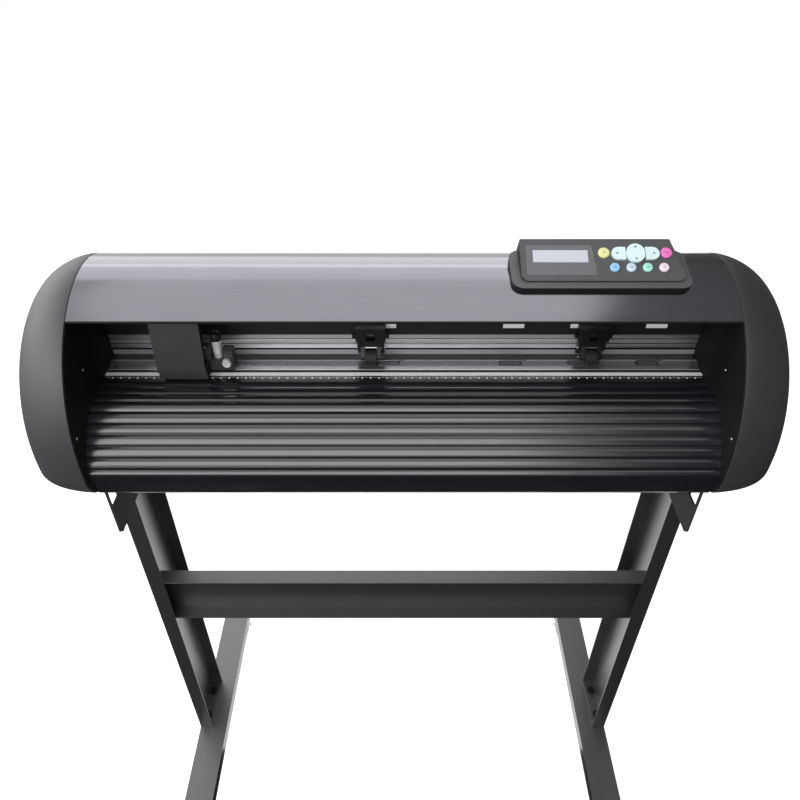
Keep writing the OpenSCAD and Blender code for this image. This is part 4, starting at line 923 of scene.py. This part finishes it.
def makeHardware():
    # bay: y and z on the end plates; rearX: along the rear cover; carriage: back and up
    # from the lower front corner of its cover
    screws = {"bay": [(-65, 998), (-128, 945)], "rearX": (-340, -115, 115, 340),
              "rearDown": 16, "rearUp": 52, "carriage": [(14, 42), (22, 84)]}
    heads = {"axle": [(1.9, -1.2), (1.9, 0.0), (1.5, 0.45), (0.6, 0.7)],
             "pivot": [(1.7, -2.8), (1.7, -1.6), (1.3, -1.2), (0.5, -1.0)],
             "nut": [(4.0, -0.3), (4.0, 1.2), (3.2, 1.7), (2.0, 1.8)]}
    inner = -boxMm("top_cover")[0].x
    spots = [(Vector((side * inner, y, z)), (-side, 0, 0))
             for side in (-1, 1) for y, z in screws["bay"]]
    screwSet("bayScrews", "machine", "bolt_steel", extras["zinc"], spots, 2.0, 1.0)

    low, high = boxMm("rear_cover")
    spots = [(Vector((x, high.y, z)), (0, 1, 0))
             for z in (high.z - screws["rearDown"], low.z + screws["rearUp"])
             for x in screws["rearX"]]
    screwSet("rearScrews", "machine", "bolt_steel", extras["bolt"], spots, 3.0, 1.4)

    low, high = boxMm("carriage_cover")
    spots = [(Vector((high.x, low.y + back, low.z + up)), (1, 0, 0))
             for back, up in screws["carriage"]]
    back, up = screws["carriage"][0]
    spots.append((Vector((low.x, low.y + back, low.z + up)), (-1, 0, 0)))
    screwSet("carriageScrews", "carriage", "bolt_steel", extras["zinc"], spots, 1.7, 0.8,
             "square")

    for number in (1, 2):
        low, high = boxMm(f"pinch_bracket_{number}")
        armLow, armHigh = boxMm(f"pinch_arm_{number}")
        axle = inMm(jointPlace(f"pinch_wheel_spin_{number}"))
        pivot = inMm(jointPlace(f"pinch_lift_{number}"))
        axle.x = pivot.x = (low.x + high.x) / 2
        pinHeads(f"axleHeads_{number}", f"pinch_arm_{number}", "shaft_steel", axle,
                 (armHigh.x - armLow.x) / 2, heads["axle"], 20)
        pinHeads(f"pivotHeads_{number}", f"pinch_unit_{number}", "shaft_steel", pivot,
                 (high.x - low.x) / 2 - 1, heads["pivot"], 20)

    for number in (1, 2, 3, 4):
        low, high = boxMm(f"caster_fork_{number}")
        roll = inMm(jointPlace(f"caster_roll_{number}"))
        pinHeads(f"axleNuts_{number}", f"caster_fork_{number}", "caster_steel", roll,
                 (high.x - low.x) / 2 - 0.2, heads["nut"], 6, angle=30)


makeHardware()
print("hardware is on")


# studio
def studioFloor():
    size = {"side": 24.0, "back": 4.0}
    mesh = bpy.data.meshes.new("studioFloor")
    corners = [(-size["side"], -size["side"], 0), (size["side"], -size["side"], 0),
               (size["side"], size["back"], 0), (-size["side"], size["back"], 0)]
    mesh.from_pydata(corners, [], [(0, 1, 2, 3)])
    floor = bpy.data.objects.new("studioFloor", mesh)
    bpy.context.scene.collection.objects.link(floor)
    paint = bpy.data.materials.new("studioFloor")
    paint.use_nodes = True
    tree = paint.node_tree
    tree.nodes.clear()
    light = addNode(tree, "ShaderNodeLightPath", {}, {})
    seen = addNode(tree, "ShaderNodeMath", {"operation": "MAXIMUM"}, {
        0: light.outputs["Is Camera Ray"], 1: light.outputs["Is Glossy Ray"]})
    spot = addNode(tree, "ShaderNodeTexCoord", {}, {}).outputs["Object"]
    cloud = addNode(tree, "ShaderNodeTexNoise", {}, {"Vector": spot, "Scale": 0.8})
    shade = addNode(tree, "ShaderNodeMixRGB", {}, {
        "Fac": cloud.outputs["Fac"], "Color1": linear("#d9d9da"), "Color2": linear("#e2e2e3")})
    matte = addNode(tree, "ShaderNodeBsdfDiffuse", {}, {"Color": shade.outputs["Color"]})
    glow = addNode(tree, "ShaderNodeEmission", {}, {"Strength": 0.8})
    lift = addNode(tree, "ShaderNodeMixShader", {}, {"Fac": seen.outputs[0]})
    unlit = addNode(tree, "ShaderNodeEmission", {}, {"Strength": 0.0})
    tree.links.new(unlit.outputs[0], lift.inputs[1])
    tree.links.new(glow.outputs[0], lift.inputs[2])
    total = addNode(tree, "ShaderNodeAddShader", {}, {})
    tree.links.new(matte.outputs[0], total.inputs[0])
    tree.links.new(lift.outputs[0], total.inputs[1])
    out = addNode(tree, "ShaderNodeOutputMaterial", {}, {})
    tree.links.new(total.outputs[0], out.inputs["Surface"])
    mesh.materials.append(paint)


def studioSky():
    world = bpy.data.worlds.new("studioSky")
    bpy.context.scene.world = world
    world.use_nodes = True
    tree = world.node_tree
    sky = tree.nodes["Background"]
    sky.inputs["Color"].default_value = linear("#ffffff")
    light = addNode(tree, "ShaderNodeLightPath", {}, {})
    seen = addNode(tree, "ShaderNodeMath", {"operation": "MAXIMUM"}, {
        0: light.outputs["Is Camera Ray"], 1: light.outputs["Is Glossy Ray"]})
    clear = addNode(tree, "ShaderNodeMath", {"operation": "MAXIMUM"}, {
        0: seen.outputs[0], 1: light.outputs["Is Transmission Ray"]})
    level = addNode(tree, "ShaderNodeMapRange", {}, {
        "Value": clear.outputs[0], "To Min": 0.2, "To Max": 1.0})
    tree.links.new(level.outputs["Result"], sky.inputs["Strength"])


def softbox(name, box):
    # radiance is what a mirror adds where it shows this box; 1 is as bright as white
    data = bpy.data.lights.new(name, "AREA")
    data.shape = "RECTANGLE"
    data.size, data.size_y = box["size"]
    data.energy = box["radiance"] * math.pi * box["size"][0] * box["size"][1]
    lamp = bpy.data.objects.new(name, data)
    aim = Vector(box["aim"]) - Vector(box["place"])
    turn = aim.to_track_quat("-Z", "Y").to_matrix().to_4x4()
    lamp.matrix_world = Matrix.Translation(box["place"]) @ turn
    bpy.context.scene.collection.objects.link(lamp)


def addCards():
    # only mirrored, so that black parts stay deep: grey cloth at the right, black cloth on
    # the ground and two small flags in the ends of the bay, in front of the rail
    black = "#1c1c1c"
    cards = {
        "wingCard": ("#8a8a8a", [(0.66, -0.8, 2.75), (0.98, 3.0, 2.75), (1.5, 3.0, 2.2),
                                 (1.45, -0.8, 2.2)]),
        "rightCard": ("#6a6a6a", [(1.45, -1.8, 2.2), (1.5, 3.2, 2.2), (1.5, 3.2, 0.4),
                                  (1.45, -1.8, 0.4)]),
        "frontRightCard": (black, [(0.95, -2.3, 0), (4, -2.3, 0), (4, -2.3, 3.4),
                                   (0.95, -2.3, 3.4)]),
        "frontCard": (black, [(-4, -5, 0.02), (4, -5, 0.02), (4, -0.06, 0.02),
                              (-4, -0.06, 0.02)]),
        "leftCard": (black, [(-4, -0.06, 0.02), (-0.7, -0.06, 0.02), (-0.7, 2, 0.02),
                             (-4, 2, 0.02)]),
        "sideCard": (black, [(0.7, -0.06, 0.02), (4, -0.06, 0.02), (4, 2, 0.02),
                             (0.7, 2, 0.02)]),
        "bayCardLeft": (black, [(-0.42, -0.03, 0.957), (-0.335, -0.03, 0.957),
                                (-0.335, -0.03, 1.062), (-0.42, -0.03, 1.062)]),
        "bayCardRight": (black, [(0.235, -0.03, 0.957), (0.42, -0.03, 0.957),
                                 (0.42, -0.03, 1.062), (0.235, -0.03, 1.062)])}
    for name, (colour, corners) in cards.items():
        cloth = bpy.data.materials.new(name)
        cloth.use_nodes = True
        shader = cloth.node_tree.nodes["Principled BSDF"]
        shader.inputs["Base Color"].default_value = linear(colour)
        shader.inputs["Roughness"].default_value = 0.9
        shader.inputs["Specular IOR Level"].default_value = 0.1
        mesh = bpy.data.meshes.new(name)
        mesh.from_pydata(corners, [], [(0, 1, 2, 3)])
        card = bpy.data.objects.new(name, mesh)
        bpy.context.scene.collection.objects.link(card)
        card.visible_camera = False
        card.visible_diffuse = False
        card.visible_transmission = False
        card.visible_shadow = False
        mesh.materials.append(cloth)


softboxes = {
    "keySoftbox": {"place": (-1.11, -2.0, 2.2), "aim": (-1.11, 0, 0.98), "size": (3.5, 1.9),
                   "radiance": 2.8},
    "overheadSoftbox": {"place": (-0.22, 0.25, 2.7), "aim": (-0.22, 0.25, 1.0),
                        "size": (1.76, 1.5), "radiance": 0.6},
    "rearSoftbox": {"place": (-0.6, 1.8, 2.7), "aim": (-0.6, 1.8, 1.0), "size": (2.8, 1.6),
                    "radiance": 1.1},
    "backSoftbox": {"place": (-0.7, 3.2, 2.5), "aim": (-0.7, 0, 1.2), "size": (3.2, 1.7),
                    "radiance": 1.3},
    "cornerSoftbox": {"place": (-2.6, 2.0, 1.85), "aim": (-0.4, 0, 1.05), "size": (1.6, 1.2),
                      "radiance": 3.5},
    "leftSoftbox": {"place": (-2.3, -0.65, 1.95), "aim": (0, -0.65, 1.7), "size": (3.1, 1.4),
                    "radiance": 4.2}}
studioFloor()
studioSky()
addCards()
for lampName, lampBox in softboxes.items():
    softbox(lampName, lampBox)
bpy.context.scene.view_settings.view_transform = "Standard"
print("studio is lit")
